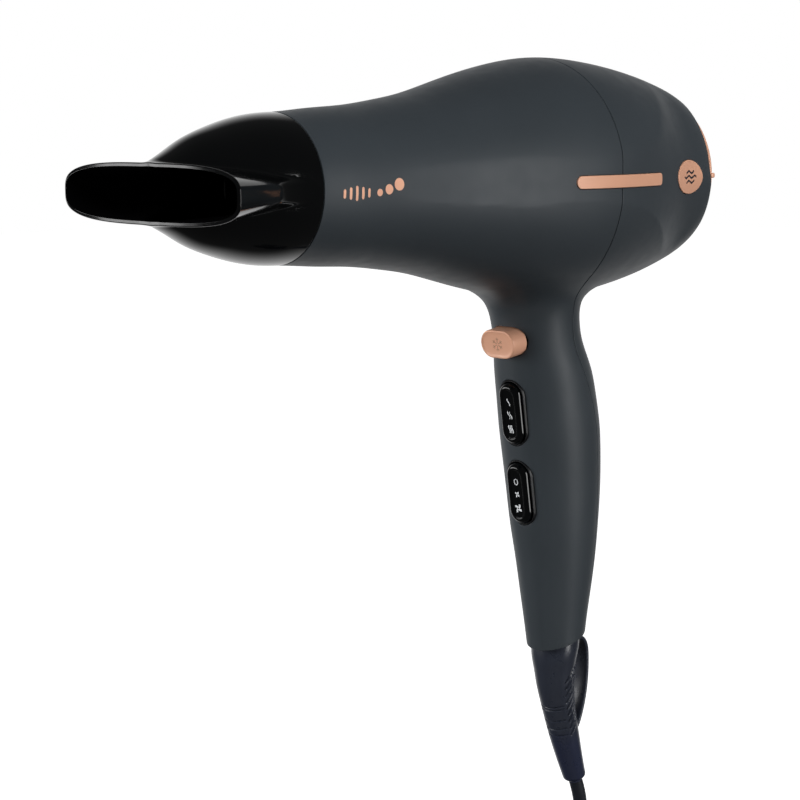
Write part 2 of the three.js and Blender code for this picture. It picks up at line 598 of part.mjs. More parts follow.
// ---------------------------------------------------------------------------------------------
// Strain relief and hanging loop
// ---------------------------------------------------------------------------------------------
const SLEEVE_SECTIONS = [   // z, centre x, radius
  [-79.5, -3.8, 9.2], [-85, -3.8, 9.8], [-90.4, -3.7, 10.1], [-96.6, -3.5, 8.9], [-104.4, -4.0, 7.8],
  [-111, -5.1, 7.1], [-119.6, -7.2, 6.5], [-128.3, -9.8, 6.0], [-136.5, -12.5, 5.5], [-143, -14.8, 5.0],
  [-148.4, -16.8, 4.2],
];
function sleeveSolid(grow) {
  const rows = SLEEVE_SECTIONS;
  return loft(rows.length - 1, 22, (t, angle, rim) => {
    const i = Math.min(rows.length - 1, Math.round((1 - t) * (rows.length - 1)));
    const [z, x, radius] = rows[i];
    const lean = i < 5 ? 0 : THREE.MathUtils.degToRad(Math.min(20, (i - 4) * 5));
    const r = rim * (radius + grow);
    const across = r * Math.cos(angle);
    const end = i === 0 ? grow : 0;
    return [x + across * Math.cos(lean), r * Math.sin(angle), z + end - across * Math.sin(lean)];
  });
}

const LOOP = { thickness: 1.7, halfWidth: 4.0 };
const LOOP_LINE = [[-12.0, -87.2], [-16.8, -88.2], [-19.3, -92], [-19.8, -99], [-19.3, -107], [-17.7, -115],
  [-15.0, -122.5], [-12.0, -127]];
function addTail() {
  add('strain_relief', sleeveSolid(0), RUBBER());
  const line = new THREE.SplineCurve(LOOP_LINE.map(([x, z]) => new THREE.Vector2(x, z)));
  const steps = 18;
  const side = (offset) => Array.from({ length: steps + 1 }, (_, i) => {
    const point = line.getPointAt(i / steps);
    const tangent = line.getTangentAt(i / steps);
    return [point.x - offset * tangent.y, point.y + offset * tangent.x];
  });
  const band = drawnOut([...side(LOOP.thickness / 2), ...side(-LOOP.thickness / 2).reverse()],
    LOOP.halfWidth, 'xz');
  add('hanging_loop', band.subtract(sleeveSolid(GAP)), RUBBER());
}

// ---------------------------------------------------------------------------------------------
// Power lead: it hangs from the strain relief and is folded into a tied hank with its plug beside it
// ---------------------------------------------------------------------------------------------
const CORD_ROUTE = [
  [-16.95, 0, -148.75], [-18.9, 0, -154.2], [-20.6, -0.4, -160.0], [-21.7, -1.5, -166.5],
  [-22.3, -3.2, -173.5], [-22.5, -4.9, -180.5], [-22.5, -5.8, -187.0], [-22.5, -6.0, -191.4],
];
const PLUG_ROUTE = [
  [-22.5, 23.4, -203.5], [-22.5, 23.6, -210], [-21.4, 24.8, -217], [-18.9, 27.2, -224.5], [-15.5, 29.9, -232],
  [-12.2, 32.2, -239.5], [-10.3, 33.6, -247], [-10.0, 34.0, -253.0],
];
const PLUG = { x: -10.0, y: 34.0, top: -253.3, front: -304, halfWidth: 17.5, halfDepth: 11 };
const PLUG_SECTIONS = [   // z, half-width along X, half-depth along Y
  [PLUG.top, 4.6, 4.6], [-262, 5.4, 5.4], [-268, 6.6, 6.6], [-272, 10.5, 8.8], [-277, 14.8, 10.4],
  [-284, 17.0, 11.0], [-296, 17.5, 11.0], [-302.5, 17.3, 10.8], [PLUG.front, 16.6, 10.1],
];
const TIE = { z: -232, halfHeight: 4.5, thickness: 1.2 };

function hankSolid() {
  const outer = HANK.turnRadius + CORD_RADIUS;
  const outline = [];
  for (let i = 0; i <= 12; i += 1) {
    const angle = (Math.PI * i) / 12;
    outline.push([HANK.x + outer * Math.cos(angle), HANK.top + outer * Math.sin(angle)]);
  }
  for (let i = 0; i <= 12; i += 1) {
    const angle = Math.PI + (Math.PI * i) / 12;
    outline.push([HANK.x + outer * Math.cos(angle), HANK.bottom + outer * Math.sin(angle)]);
  }
  const depth = HANK.pitch * (HANK.turns - 1) + 2 * CORD_RADIUS;
  return drawnOut(outline, depth / 2, 'xz').translate([0, HANK.firstY - CORD_RADIUS + depth / 2, 0]);
}

function addLead() {
  add('power_cord', tube(CORD_ROUTE, CORD_RADIUS, 7, CORD_SIDES), RUBBER());
  add('cord_hank', hankSolid(), RUBBER());
  add('plug_lead', tube(PLUG_ROUTE, CORD_RADIUS, 8, CORD_SIDES), RUBBER());

  const halfX = HANK.turnRadius + CORD_RADIUS + GAP;
  const y0 = HANK.firstY - CORD_RADIUS - GAP;
  const y1 = HANK.firstY + HANK.pitch * (HANK.turns - 1) + CORD_RADIUS + GAP;
  const [z0, z1] = [TIE.z - TIE.halfHeight, TIE.z + TIE.halfHeight];
  const t = TIE.thickness;
  add('cord_tie', cut(
    box(HANK.x - halfX - t, HANK.x + halfX + t, y0 - t, y1 + t, z0, z1),
    box(HANK.x - halfX, HANK.x + halfX, y0, y1, z0 - 1, z1 + 1),
  ), SATIN_BLACK());

  const rows = PLUG_SECTIONS;
  const body = loft(rows.length - 1, 24, (u, angle, rim) => {
    const [z, width, depth] = rows[Math.min(rows.length - 1, Math.round((1 - u) * (rows.length - 1)))];
    const power = z > -270 ? 1 : 0.75;
    return [PLUG.x + rim * width * signedPower(Math.cos(angle), power),
      PLUG.y + rim * depth * signedPower(Math.sin(angle), power), z];
  });
  add('plug_body', body, RUBBER());
  [9.5, -9.5].forEach((offset, i) => {
    const pin = rod(0, 19, 0, 0, 2.4, 16).rotate([0, 90, 0])
      .translate([PLUG.x + offset, PLUG.y, PLUG.front - GAP]);
    add(`plug_pin_${i + 1}`, pin, STEEL());
  });
}

addCasing();
addIntake();
addNozzle();
addGrille();
addColdShot();
addRocker('heat', HEAT_POS);
addRocker('speed', SPEED_POS);
addMotor();
addHeater();
addHandleInside();
addTail();
addLead();

export default dryer;
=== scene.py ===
"""Looks of a hand-held hair dryer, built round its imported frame.

Everything is worked out in millimetres, in the frame of the part, and put into meshes in metres:
+X is the way the air leaves, +Y the user's left, +Z up, and the middle of the grip is the origin.
"""
import math
from itertools import product

import bmesh
import bpy
import numpy as np
from mathutils import Matrix, Vector


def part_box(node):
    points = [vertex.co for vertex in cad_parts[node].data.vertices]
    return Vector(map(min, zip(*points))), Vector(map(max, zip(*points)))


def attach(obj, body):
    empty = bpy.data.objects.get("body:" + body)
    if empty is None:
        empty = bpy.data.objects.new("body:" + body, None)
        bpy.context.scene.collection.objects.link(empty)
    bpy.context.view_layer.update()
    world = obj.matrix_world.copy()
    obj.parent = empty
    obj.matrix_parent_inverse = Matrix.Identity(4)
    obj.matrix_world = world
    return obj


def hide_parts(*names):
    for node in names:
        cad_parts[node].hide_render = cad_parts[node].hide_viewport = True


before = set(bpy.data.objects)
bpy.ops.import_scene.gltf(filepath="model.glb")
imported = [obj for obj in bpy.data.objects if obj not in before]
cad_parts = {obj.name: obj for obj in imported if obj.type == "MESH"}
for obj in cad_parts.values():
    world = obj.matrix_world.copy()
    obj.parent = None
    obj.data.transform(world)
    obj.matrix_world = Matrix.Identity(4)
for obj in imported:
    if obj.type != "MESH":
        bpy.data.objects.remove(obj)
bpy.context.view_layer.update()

bl_info = {
    "name": "Hair dryer",
    "version": (1, 0, 0),
    "blender": (4, 5, 0),
    "location": "View3D > Sidebar > Hair dryer",
    "description": "Builds the casing, nozzle, controls, intake, lead and finishes of a hair dryer",
    "category": "Object",
}

MM = 0.001

# ----------------------------------------------------------------------------------------------
# Driving dimensions, in millimetres
# ----------------------------------------------------------------------------------------------
AXIS_Z = 100.0
BARREL_FRONT_X = 146.3
HEAD_REAR_X = -58.3
HEAD_PROFILE = [
    (152, 26.6), (BARREL_FRONT_X, 26.7), (130, 27.9), (112, 29.0), (95, 31.0), (80, 33.4), (64, 37.2),
    (48, 41.2), (33, 44.3), (14, 46.6), (-4, 46.0), (-22, 43.7), (-37, 40.8), (-48, 38.0),
    (HEAD_REAR_X, 34.4), (-64, 31.4),
]
BAND_PROFILE = [
    (152, 28.5), (112, 29.0), (96, 30.4), (80, 32.8), (48, 40.5), (14, 45.9), (-7, 44.3), (-20, 41.7),
    (-31, 38.9), (-38, 37.2), (-46, 35.8), (-53, 34.9), (-64, 33.4),
]
BAND_CROWN = 0.012
HANDLE_SECTIONS = [
    (74, 15, 37, 26), (62, 13.6, 30.5, 23.8), (56, 12.0, 23.8, 20.2), (50, 10.6, 19.4, 17.9),
    (44, 9.5, 18.0, 17.2), (36, 7.9, 18.2, 17.2), (26, 5.2, 19.7, 18.6), (14, 2.7, 20.5, 19.3),
    (2, 0.8, 20.8, 19.6), (-10, -0.6, 20.4, 19.2), (-24, -1.8, 19.5, 18.4), (-38, -2.5, 18.3, 17.3),
    (-52, -3.3, 16.6, 15.8), (-66, -3.5, 14.7, 14.1), (-80, -3.6, 12.8, 12.3), (-94, -3.9, 11.2, 10.9),
]
NECK_BLEND = 5.0
CASING_LIP, NOZZLE_LIP = 0.28, 0.45     # radius of the rounded free edges
CONTROL_CLEARANCE = 0.35
BEZEL_CLEARANCE = 1.15
POCKET_CLEARANCE = 0.12
SCREW_HOLE_RADIUS = 2.9
HANDLE_END = {"x": -4.0, "z": -85.7, "slope": 0.317}
SEAM = [
    (160, 11.5), (118, 11.5), (76, 11.5), (66, 10.4), (58, 8.2), (50, 6.4), (41, 6.0), (32, 4.0),
    (19.5, -1.2), (3.5, -6.6), (-9, -8.4), (-28, -9.8), (-45, -11.0), (-100, -12.4),
]
CONTROL_TILT = math.radians(8.5)
COLD_SHOT = {"x": 27.0, "z": 37.0, "width": 17.4, "length": 11.2}
HEAT_SWITCH = {"x": 22.3, "z": 8.5, "width": 10.6, "length": 24.8}
SPEED_SWITCH = {"x": 17.7, "z": -23.8, "width": 10.6, "length": 24.8}
INLAY = {"front": 35.2, "rear": -15.4, "half_height": 2.4}
BADGE = {"x": -40.4, "half_length": 10.2, "half_height": 6.7}
SCREW_HEIGHTS = (45.0, -58.0)

NOZZLE_REAR_X = 146.6
NOZZLE_FRONT_X = 200.9
DOME_SECTIONS = [
    (140, 26.75, 26.75), (NOZZLE_REAR_X, 26.7, 26.7), (156, 26.2, 26.1), (165, 24.7, 24.5),
    (174, 22.4, 22.0), (183, 19.2, 18.7), (191.5, 15.2, 14.4), (NOZZLE_FRONT_X, 10.5, 9.8), (206, 7, 7),
]
WING_SECTIONS = [
    (140, 12.0, 3.4), (156, 23.0, 6.2), (165, 27.9, 7.0), (180, 35.8, 8.3), (191.5, 41.8, 9.4),
    (NOZZLE_FRONT_X, 46.7, 10.4), (206, 49.4, 10.8),
]

CORD_RADIUS = 2.85
CORD_ROUTE = [
    (-16.95, 0, -148.75), (-18.9, 0, -154.2), (-20.6, -0.4, -160.0), (-21.7, -1.5, -166.5),
    (-22.3, -3.2, -173.5), (-22.5, -4.9, -180.5), (-22.5, -5.8, -187.0), (-22.5, -6.0, -193.0),
    (-22.5, -6.0, -199.5),
]
HANK = {
    "x": -5.4, "top": -206.0, "bottom": -320.0, "radius": 17.1, "first_y": -6.0, "pitch": 5.85, "turns": 5,
}
PLUG_ROUTE = [
    (-22.5, 23.3, -210), (-21.4, 24.8, -217), (-18.9, 27.2, -224.5), (-15.5, 29.9, -232),
    (-12.2, 32.2, -239.5), (-10.3, 33.6, -247), (-10.0, 34.0, -253.0),
]

# ----------------------------------------------------------------------------------------------
# Camera and the lead's line
# ----------------------------------------------------------------------------------------------
CAMERA_PLACE = (655.9, 578.4, 131.1)
CAMERA_AZIMUTH, CAMERA_HEIGHT, CAMERA_ROLL = 45.35, 7.79, -0.19     # degrees
CAMERA_LENS = 99.225
CAMERA_SENSOR = 36.0


def direction(azimuth, height):
    """The direction that lies so many degrees round from +X and so many up."""
    turn, lift = math.radians(azimuth), math.radians(height)
    return Vector((math.cos(lift) * math.cos(turn), math.cos(lift) * math.sin(turn), math.sin(lift)))


def place_camera():
    data = bpy.data.cameras.new("camera")
    data.lens = CAMERA_LENS
    data.sensor_width = CAMERA_SENSOR
    camera = bpy.data.objects.new("camera", data)
    back, level = direction(CAMERA_AZIMUTH, CAMERA_HEIGHT), direction(CAMERA_AZIMUTH + 90, 0)
    roll = math.radians(CAMERA_ROLL)
    right = level * math.cos(roll) + back.cross(level) * math.sin(roll)
    columns = Matrix((right, back.cross(right), back)).transposed()
    camera.matrix_world = Matrix.Translation(Vector(CAMERA_PLACE) * MM) @ columns.to_4x4()
    bpy.context.scene.collection.objects.link(camera)
    bpy.context.scene.camera = camera


def lead_line():
    """The lead's centreline: out of the sleeve, five turns of the hank and over to the plug."""
    x, radius = HANK["x"], HANK["radius"]
    points = list(CORD_ROUTE)
    for turn in range(HANK["turns"]):
        y = HANK["first_y"] + turn * HANK["pitch"]
        for step in range(0, 10):
            points.append((x - radius, y, HANK["top"] + (HANK["bottom"] - HANK["top"]) * step / 10))
        for step in range(0, 16):
            angle = math.pi + math.pi * step / 16
            points.append((x + radius * math.cos(angle), y, HANK["bottom"] + radius * math.sin(angle)))
        for step in range(0, 10):
            points.append((x + radius, y, HANK["bottom"] + (HANK["top"] - HANK["bottom"]) * step / 10))
        for step in range(0, 16):
            angle = math.pi * step / 16
            share = step / 16
            lift = HANK["pitch"] * share * share * (3 - 2 * share)
            points.append((x + radius * math.cos(angle), y + lift, HANK["top"] + radius * math.sin(angle)))
    last_y = HANK["first_y"] + HANK["turns"] * HANK["pitch"]
    points.append((x - radius, last_y, HANK["top"]))
    return points + list(PLUG_ROUTE)


# ----------------------------------------------------------------------------------------------
# Curves, fields and skins
# ----------------------------------------------------------------------------------------------
def smooth_curve(rows):
    """A natural cubic through rows of (key, value, ...), held constant beyond its ends."""
    table = np.array(sorted(rows), float)
    keys, values = table[:, 0], table[:, 1:]
    count, gap = len(keys), np.diff(keys)
    matrix, right = np.eye(count), np.zeros_like(values)
    for i in range(1, count - 1):
        matrix[i, i - 1:i + 2] = gap[i - 1], 2 * (gap[i - 1] + gap[i]), gap[i]
        right[i] = 6 * ((values[i + 1] - values[i]) / gap[i] - (values[i] - values[i - 1]) / gap[i - 1])
    bend = np.linalg.solve(matrix, right)

    def at(key):
        key = np.clip(np.asarray(key, float), keys[0], keys[-1])
        i = np.clip(np.searchsorted(keys, key) - 1, 0, count - 2)
        h = gap[i][..., None]
        a = ((keys[i + 1] - key) / gap[i])[..., None]
        b = 1 - a
        cubic = ((a ** 3 - a) * bend[i] + (b ** 3 - b) * bend[i + 1]) * h ** 2 / 6
        return a * values[i] + b * values[i + 1] + cubic

    return at


head_radius = smooth_curve(HEAD_PROFILE)
band_width = smooth_curve(BAND_PROFILE)
handle_section = smooth_curve(HANDLE_SECTIONS)
seam_x = smooth_curve(SEAM)
dome_section = smooth_curve(DOME_SECTIONS)
wing_section = smooth_curve(WING_SECTIONS)


def blend_min(a, b, reach):
    share = np.clip(0.5 + 0.5 * (b - a) / reach, 0, 1)
    return b + (a - b) * share - reach * share * (1 - share)


def blend_max(a, b, reach):
    return -blend_min(-a, -b, reach)


def ease(value, low, high):
    share = np.clip((value - low) / (high - low), 0, 1)
    return share * share * (3 - 2 * share)


def sloped(curve, key, step=0.05):
    """A curve's value and the factor that turns a radial difference into a distance."""
    slope = (curve(key + step)[..., 0] - curve(key - step)[..., 0]) / (2 * step)
    return curve(key)[..., 0], 1 / np.sqrt(1 + slope ** 2)


def head_field(p):
    x, y, height = p[:, 0], p[:, 1], p[:, 2] - AXIS_Z
    radius, lean = sloped(head_radius, x)
    width, band_lean = sloped(band_width, x)
    round_part = (np.hypot(y, height) - radius) * lean
    crown = BAND_CROWN * (1 - ease(x, -46, 6))
    band_part = (np.abs(y) + crown * height ** 2 - width) * band_lean / np.hypot(1, 2 * crown * height)
    upper = ease(height, -4, 5)
    softness = 0.10 + 0.55 * upper + (1.0 + 3.6 * upper) * (1 - ease(x, -46, -16))
    return blend_max(round_part, band_part, softness)


def handle_field(p):
    section = handle_section(p[:, 2])
    centre, depth, width = section[:, 0], section[:, 1], section[:, 2]
    dx, dy = (p[:, 0] - centre) / depth, p[:, 1] / width
    reach = np.maximum(np.hypot(dx, dy), 1e-6)
    slope = np.hypot(dx / depth, dy / width) / reach
    return (reach - 1) / np.maximum(slope, 1e-6)


def body_field(p):
    """Roughly the distance from the casing's outer surface, negative inside it."""
    head, handle = head_field(p), handle_field(p)
    handle = np.maximum(handle, p[:, 2] - (AXIS_Z - 8))
    return blend_min(head, handle, NECK_BLEND)


def section_field(p, curve, power):
    """Distance-like field of a loft along X with superelliptic sections."""
    section = curve(p[:, 0])
    width, height = section[:, 0], section[:, 1]
    y, z = np.abs(p[:, 1]) / width, np.abs(p[:, 2] - AXIS_Z) / height
    reach = np.maximum((y ** power + z ** power) ** (1 / power), 1e-6)
    dy = (y / reach) ** (power - 1) / width
    dz = (z / reach) ** (power - 1) / height
    return (reach - 1) / np.maximum(np.hypot(dy, dz), 1e-6)


def nozzle_field(p):
    """The dome and the wings: the wings' end faces grow out of the dome, their shoulders stay crisp."""
    softness = 1.3 + 7.0 * (1 - ease(np.abs(p[:, 2] - AXIS_Z), 2.5, 6.0)) * (1 - ease(p[:, 0], 172, 190))
    return blend_min(section_field(p, dome_section, 2.0), section_field(p, wing_section, 3.3), softness)


def gradient(field, points, step=0.02):
    slopes = []
    for axis in range(3):
        shift = np.zeros(3)
        shift[axis] = step
        slopes.append((field(points + shift) - field(points - shift)) / (2 * step))
    return np.stack(slopes, -1)


def onto(field, points, rounds=3):
    """Points moved along the field's slope onto its zero surface, and the surface's normals there."""
    for _ in range(rounds):
        slope = gradient(field, points)
        points = points - slope * (field(points) / np.maximum((slope ** 2).sum(-1), 1e-9))[:, None]
    slope = gradient(field, points)
    return points, slope / np.linalg.norm(slope, axis=-1, keepdims=True)


def skin(field, low, high, cell, relax=8):
    """Even quads on the zero surface of a field, inside a box: a cell's vertex, then its neighbours."""
    axes = [np.arange(a, b + cell, cell) for a, b in zip(low, high)]
    grid = np.stack(np.meshgrid(*axes, indexing="ij"), -1)
    inside = field(grid.reshape(-1, 3)).reshape(grid.shape[:3]) < 0
    shape = np.array(inside.shape) - 1
    full = np.zeros(shape, int)
    for i, j, k in product((0, 1), repeat=3):
        full += inside[i:i + shape[0], j:j + shape[1], k:k + shape[2]]
    active = (full > 0) & (full < 8)
    index = np.full(shape, -1)
    index[active] = np.arange(active.sum())
    points = np.array(low) + (np.argwhere(active) + 0.5) * cell

    quads = []
    for axis in range(3):
        u, v = (axis + 1) % 3, (axis + 2) % 3
        ahead = np.roll(inside, -1, axis)
        crossing = inside != ahead
        places = np.argwhere(crossing)
        keep = (places[:, axis] < shape[axis]) & (places[:, u] > 0) & (places[:, v] > 0)
        keep &= (places[:, u] < shape[u]) & (places[:, v] < shape[v])
        places = places[keep]
        corners = []
        for du, dv in ((0, 0), (-1, 0), (-1, -1), (0, -1)):
            cells = places.copy()
            cells[:, u] += du
            cells[:, v] += dv
            corners.append(index[tuple(cells.T)])
        quad = np.stack(corners, -1)
        outward = inside[tuple(places.T)]
        quad[~outward] = quad[~outward][:, ::-1]
        quads.append(quad)
    quads = np.concatenate(quads)
    points, normals = onto(field, points)
    edges = np.concatenate([quads[:, [i, (i + 1) % 4]] for i in range(4)])
    edges = np.unique(np.sort(edges, axis=1), axis=0)
    ends, others = np.concatenate([edges[:, 0], edges[:, 1]]), np.concatenate([edges[:, 1], edges[:, 0]])
    degree = np.bincount(ends, minlength=len(points))
    for _ in range(relax):
        mean = np.stack([np.bincount(ends, points[others, a], len(points)) for a in range(3)], -1)
        pull = mean / np.maximum(degree, 1)[:, None] - points
        pull -= normals * (pull * normals).sum(-1, keepdims=True)
        points, normals = onto(field, points + 0.5 * pull, 1)
    points, normals = onto(field, points, 2)
    return points, quads


def trimmed(bm, side, field, cell):
    """Cuts the skin along the line where side is 0, and keeps what is on its positive side."""
    verts = list(bm.verts)
    points = np.array([v.co for v in verts])
    value = side(points)
    free = np.array([not v.is_boundary for v in verts])
    near = np.abs(value) < 0.3 * cell
    for i in np.nonzero(near & free)[0]:
        value[i] = 0
    moved = np.nonzero(near & free)[0]
    if len(moved):
        settled = settle(points[moved], side, field)
        for i, place in zip(moved, settled):
            verts[i].co = place
    level = {v: value[i] for i, v in enumerate(verts)}
    new = []
    for edge in [e for e in bm.edges if level[e.verts[0]] * level[e.verts[1]] < 0]:
        a, b = edge.verts
        on_rim = edge.is_boundary
        share = level[a] / (level[a] - level[b])
        _, vert = bmesh.utils.edge_split(edge, a, share)
        level[vert] = 0
        if not on_rim:
            new.append(vert)
    if new:
        settled = settle(np.array([v.co for v in new]), side, field)
        for vert, place in zip(new, settled):
            vert.co = place
    bmesh.ops.connect_verts(bm, verts=[v for v in bm.verts if level[v] == 0], check_degenerate=False)
    doomed = []
    for face in bm.faces:
        least, most = min(level[v] for v in face.verts), max(level[v] for v in face.verts)
        if least < 0 and -least > most:
            doomed.append(face)
        elif least == 0 and most == 0 and side(np.array([face.calc_center_median()]))[0] < 0:
            doomed.append(face)
    bmesh.ops.delete(bm, geom=doomed, context="FACES")


def settle(points, side, field):
    for _ in range(3):
        slope = gradient(side, points)
        points = points - slope * (side(points) / np.maximum((slope ** 2).sum(-1), 1e-9))[:, None]
        points, _ = onto(field, points, 1)
    return points


def skin_piece(field, low, high, cell, sides):
    """A skin trimmed by every side, as arrays: points and faces."""
    points, quads = skin(field, low, high, cell)
    bm = bmesh.new()
    verts = [bm.verts.new(p) for p in points]
    for quad in quads:
        bm.faces.new([verts[i] for i in quad])
    for side in sides:
        trimmed(bm, side, field, cell)
    bmesh.ops.delete(bm, geom=[v for v in bm.verts if not v.link_faces], context="VERTS")
    bm.verts.index_update()
    points = np.array([v.co for v in bm.verts])
    faces = [[v.index for v in face.verts] for face in bm.faces]
    bm.free()
    return points, faces


def shelled(field, points, faces, wall, lip, lip_steps=3):
    """A closed wall from an open skin: rounded lips along every free edge, and an inner skin."""
    slope = gradient(field, points)
    normals = slope / np.linalg.norm(slope, axis=-1, keepdims=True)
    used = {}
    for face in faces:
        for a, b in zip(face, face[1:] + face[:1]):
            used[(a, b)] = True
    rim = [(a, b) for a, b in used if (b, a) not in used]
    outward = np.zeros_like(points)
    for a, b in rim:
        along = points[b] - points[a]
        along /= max(np.linalg.norm(along), 1e-9)
        for end in (a, b):
            outward[end] += np.cross(along, normals[end])
    on_rim = sorted({i for edge in rim for i in edge})
    place_of = {v: i for i, v in enumerate(on_rim)}
    out = outward[on_rim]
    length = np.linalg.norm(out, axis=-1, keepdims=True)
    out = out / np.maximum(length, 1e-9) * np.clip(2 / np.maximum(length, 1e-9), 1, 1.3)
    base, normal = points[on_rim], normals[on_rim]

    rows, row_normals = [], []
    for step in range(1, lip_steps + 1):
        angle = 0.5 * math.pi * step / lip_steps
        rows.append(base + out * lip * math.sin(angle) - normal * lip * (1 - math.cos(angle)))
        row_normals.append(normal * math.cos(angle) + out * math.sin(angle))
    rows.append(base + out * lip - normal * wall)
    row_normals.append(out)

    count, ring = len(points), len(on_rim)
    all_points = np.concatenate([points, points - normals * wall, *rows])
    all_normals = np.concatenate([normals, -normals, *row_normals])
    all_faces = [list(f) for f in faces] + [[i + count for i in reversed(f)] for f in faces]
    for a, b in rim:
        ia, ib = place_of[a], place_of[b]
        left, right = a, b
        for step in range(len(rows)):
            next_left, next_right = 2 * count + step * ring + ia, 2 * count + step * ring + ib
            all_faces.append([right, left, next_left, next_right])
            left, right = next_left, next_right
        all_faces.append([right, left, a + count, b + count])
    return all_points, all_faces, all_normals


# ----------------------------------------------------------------------------------------------
# Meshes
# ----------------------------------------------------------------------------------------------
def new_object(name, points, faces, material, normals=None, smooth=True, angle=None):
    mesh = bpy.data.meshes.new(name)
    mesh.from_pydata([tuple(p) for p in np.asarray(points) * MM], [], [list(map(int, f)) for f in faces])
    mesh.materials.append(material)
    mesh.polygons.foreach_set("use_smooth", [smooth] * len(mesh.polygons))
    if angle is not None:
        mark_sharp(mesh, angle)
    if normals is not None:
        unit = normals / np.maximum(np.linalg.norm(normals, axis=-1, keepdims=True), 1e-9)
        mesh.normals_split_custom_set_from_vertices([tuple(n) for n in unit])
    mesh.validate()
    piece = bpy.data.objects.new(name, mesh)
    bpy.context.scene.collection.objects.link(piece)
    return piece


def hand_over(piece, body, slot, *nodes):
    """Says which body a finished piece rides on and which nodes it stands for; the slot, what it is made
    of, is not used.
    """
    if nodes:
        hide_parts(*nodes)
    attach(piece, body)


def mark_sharp(mesh, angle):
    bm = bmesh.new()
    bm.from_mesh(mesh)
    for edge in bm.edges:
        if len(edge.link_faces) == 2 and edge.calc_face_angle(0) > math.radians(angle):
            edge.smooth = False
    bm.to_mesh(mesh)
    bm.free()


def outward(piece):
    bm = bmesh.new()
    bm.from_mesh(piece.data)
    bmesh.ops.remove_doubles(bm, verts=bm.verts, dist=1e-7)
    bmesh.ops.recalc_face_normals(bm, faces=bm.faces)
    bm.to_mesh(piece.data)
    bm.free()
    return piece


def stacked(rings, loop=False):
    """Points and faces of rings of equal count, joined in order, with end faces unless they loop."""
    rings = [np.asarray(r, float) for r in rings]
    count, turns = len(rings[0]), len(rings)
    points = np.concatenate(rings)
    faces = []
    for row in range(turns if loop else turns - 1):
        below, above = row * count, ((row + 1) % turns) * count
        for i in range(count):
            j = (i + 1) % count
            faces.append([below + i, below + j, above + j, above + i])
    if not loop:
        faces.append(list(range(count))[::-1])
        faces.append([(turns - 1) * count + i for i in range(count)])
    return points, faces


def merged(parts):
    points, faces, start = [], [], 0
    for p, f in parts:
        points.append(np.asarray(p, float))
        faces += [[i + start for i in face] for face in f]
        start += len(p)
    return np.concatenate(points), faces


def turned(profile, segments=96):
    """A closed profile of (x, radius) turned round the duct's axis."""
    rings = []
    for angle in np.linspace(0, 2 * math.pi, segments, endpoint=False):
        c, s = math.cos(angle), math.sin(angle)
        rings.append([(x, r * c, AXIS_Z + r * s) for x, r in profile])
    return stacked(rings, loop=True)


def pill_outline(width, length, count=96):
    """Points round a pill, lying across the length: (u, v)."""
    width, length = max(width, 0.02), max(length, 0.02)
    long_side, short_side = max(width, length), min(width, length)
    radius, flat = short_side / 2, (long_side - short_side) / 2
    straight, round_end = count // 6, count // 3
    points = []
    for sign in (1, -1):
        for step in range(straight):
            points.append((-sign * radius, sign * flat * (2 * step / straight - 1)))
        for step in range(round_end):
            angle = math.pi * step / round_end
            points.append((-sign * radius * math.cos(angle), sign * (flat + radius * math.sin(angle))))
    if width > length:
        points = [(v, -u) for u, v in points]
    return np.array(points)


def control_place(switch, local):
    """Points in a control's own frame (outward, across, up) put into the part's frame."""
    local = np.asarray(local, float)
    c, s = math.cos(CONTROL_TILT), math.sin(CONTROL_TILT)
    x = switch["x"] + local[:, 0] * c + local[:, 2] * s
    z = switch["z"] - local[:, 0] * s + local[:, 2] * c
    return np.stack([x, local[:, 1], z], -1)


def control_local(switch, points):
    c, s = math.cos(CONTROL_TILT), math.sin(CONTROL_TILT)
    dx, dz = points[:, 0] - switch["x"], points[:, 2] - switch["z"]
    return np.stack([dx * c - dz * s, points[:, 1], dx * s + dz * c], -1)


def pill_distance(u, v, width, length):
    radius = min(width, length) / 2
    flat_u, flat_v = width / 2 - radius, length / 2 - radius
    return np.hypot(np.maximum(np.abs(u) - flat_u, 0), np.maximum(np.abs(v) - flat_v, 0)) - radius


def swept(line, outline):
    """A closed outline of (side, along Y) points carried along a line, with both ends closed."""
    line = np.asarray(line, float)
    tangent = np.gradient(line, axis=0)
    tangent /= np.linalg.norm(tangent, axis=-1, keepdims=True)
    side = np.cross(tangent, (0.0, 1.0, 0.0))
    side /= np.linalg.norm(side, axis=-1, keepdims=True)
    lift = np.cross(side, tangent)
    rings = [
        [p + side[i] * u + lift[i] * v for u, v in outline] for i, p in enumerate(line)
    ]
    return stacked(rings)


def ribbon(line, width, height_at, thickness=0.05):
    """A thin flat stroke along (u, v) points, as points (outward, across, up) and faces."""
    line = np.asarray(line, float)
    tangent = np.gradient(line, axis=0)
    tangent /= np.maximum(np.linalg.norm(tangent, axis=-1, keepdims=True), 1e-9)
    side = np.stack([-tangent[:, 1], tangent[:, 0]], -1) * width / 2
    left, right = line + side, line - side
    rings = []
    for edge, lift in ((left, 0), (left, thickness), (right, thickness), (right, 0)):
        rings.append([(height_at(u, v) + lift, u, v) for u, v in edge])
    points = np.concatenate([np.array(r) for r in rings])
    count = len(line)
    faces = []
    for i in range(count - 1):
        for k in range(4):
            a, b = k * count, ((k + 1) % 4) * count
            faces.append([a + i, a + i + 1, b + i + 1, b + i])
    faces.append([0, count, 2 * count, 3 * count])
    faces.append([4 * count - 1, 3 * count - 1, 2 * count - 1, count - 1])
    return points, faces


# ----------------------------------------------------------------------------------------------
# Finishes
# ----------------------------------------------------------------------------------------------
def hex_colour(text):
    """Linear colour from a display colour such as 34393c."""
    def linear(value):
        return value / 12.92 if value <= 0.04045 else ((value + 0.055) / 1.055) ** 2.4
    return tuple(linear(int(text[i:i + 2], 16) / 255) for i in (0, 2, 4)) + (1.0,)


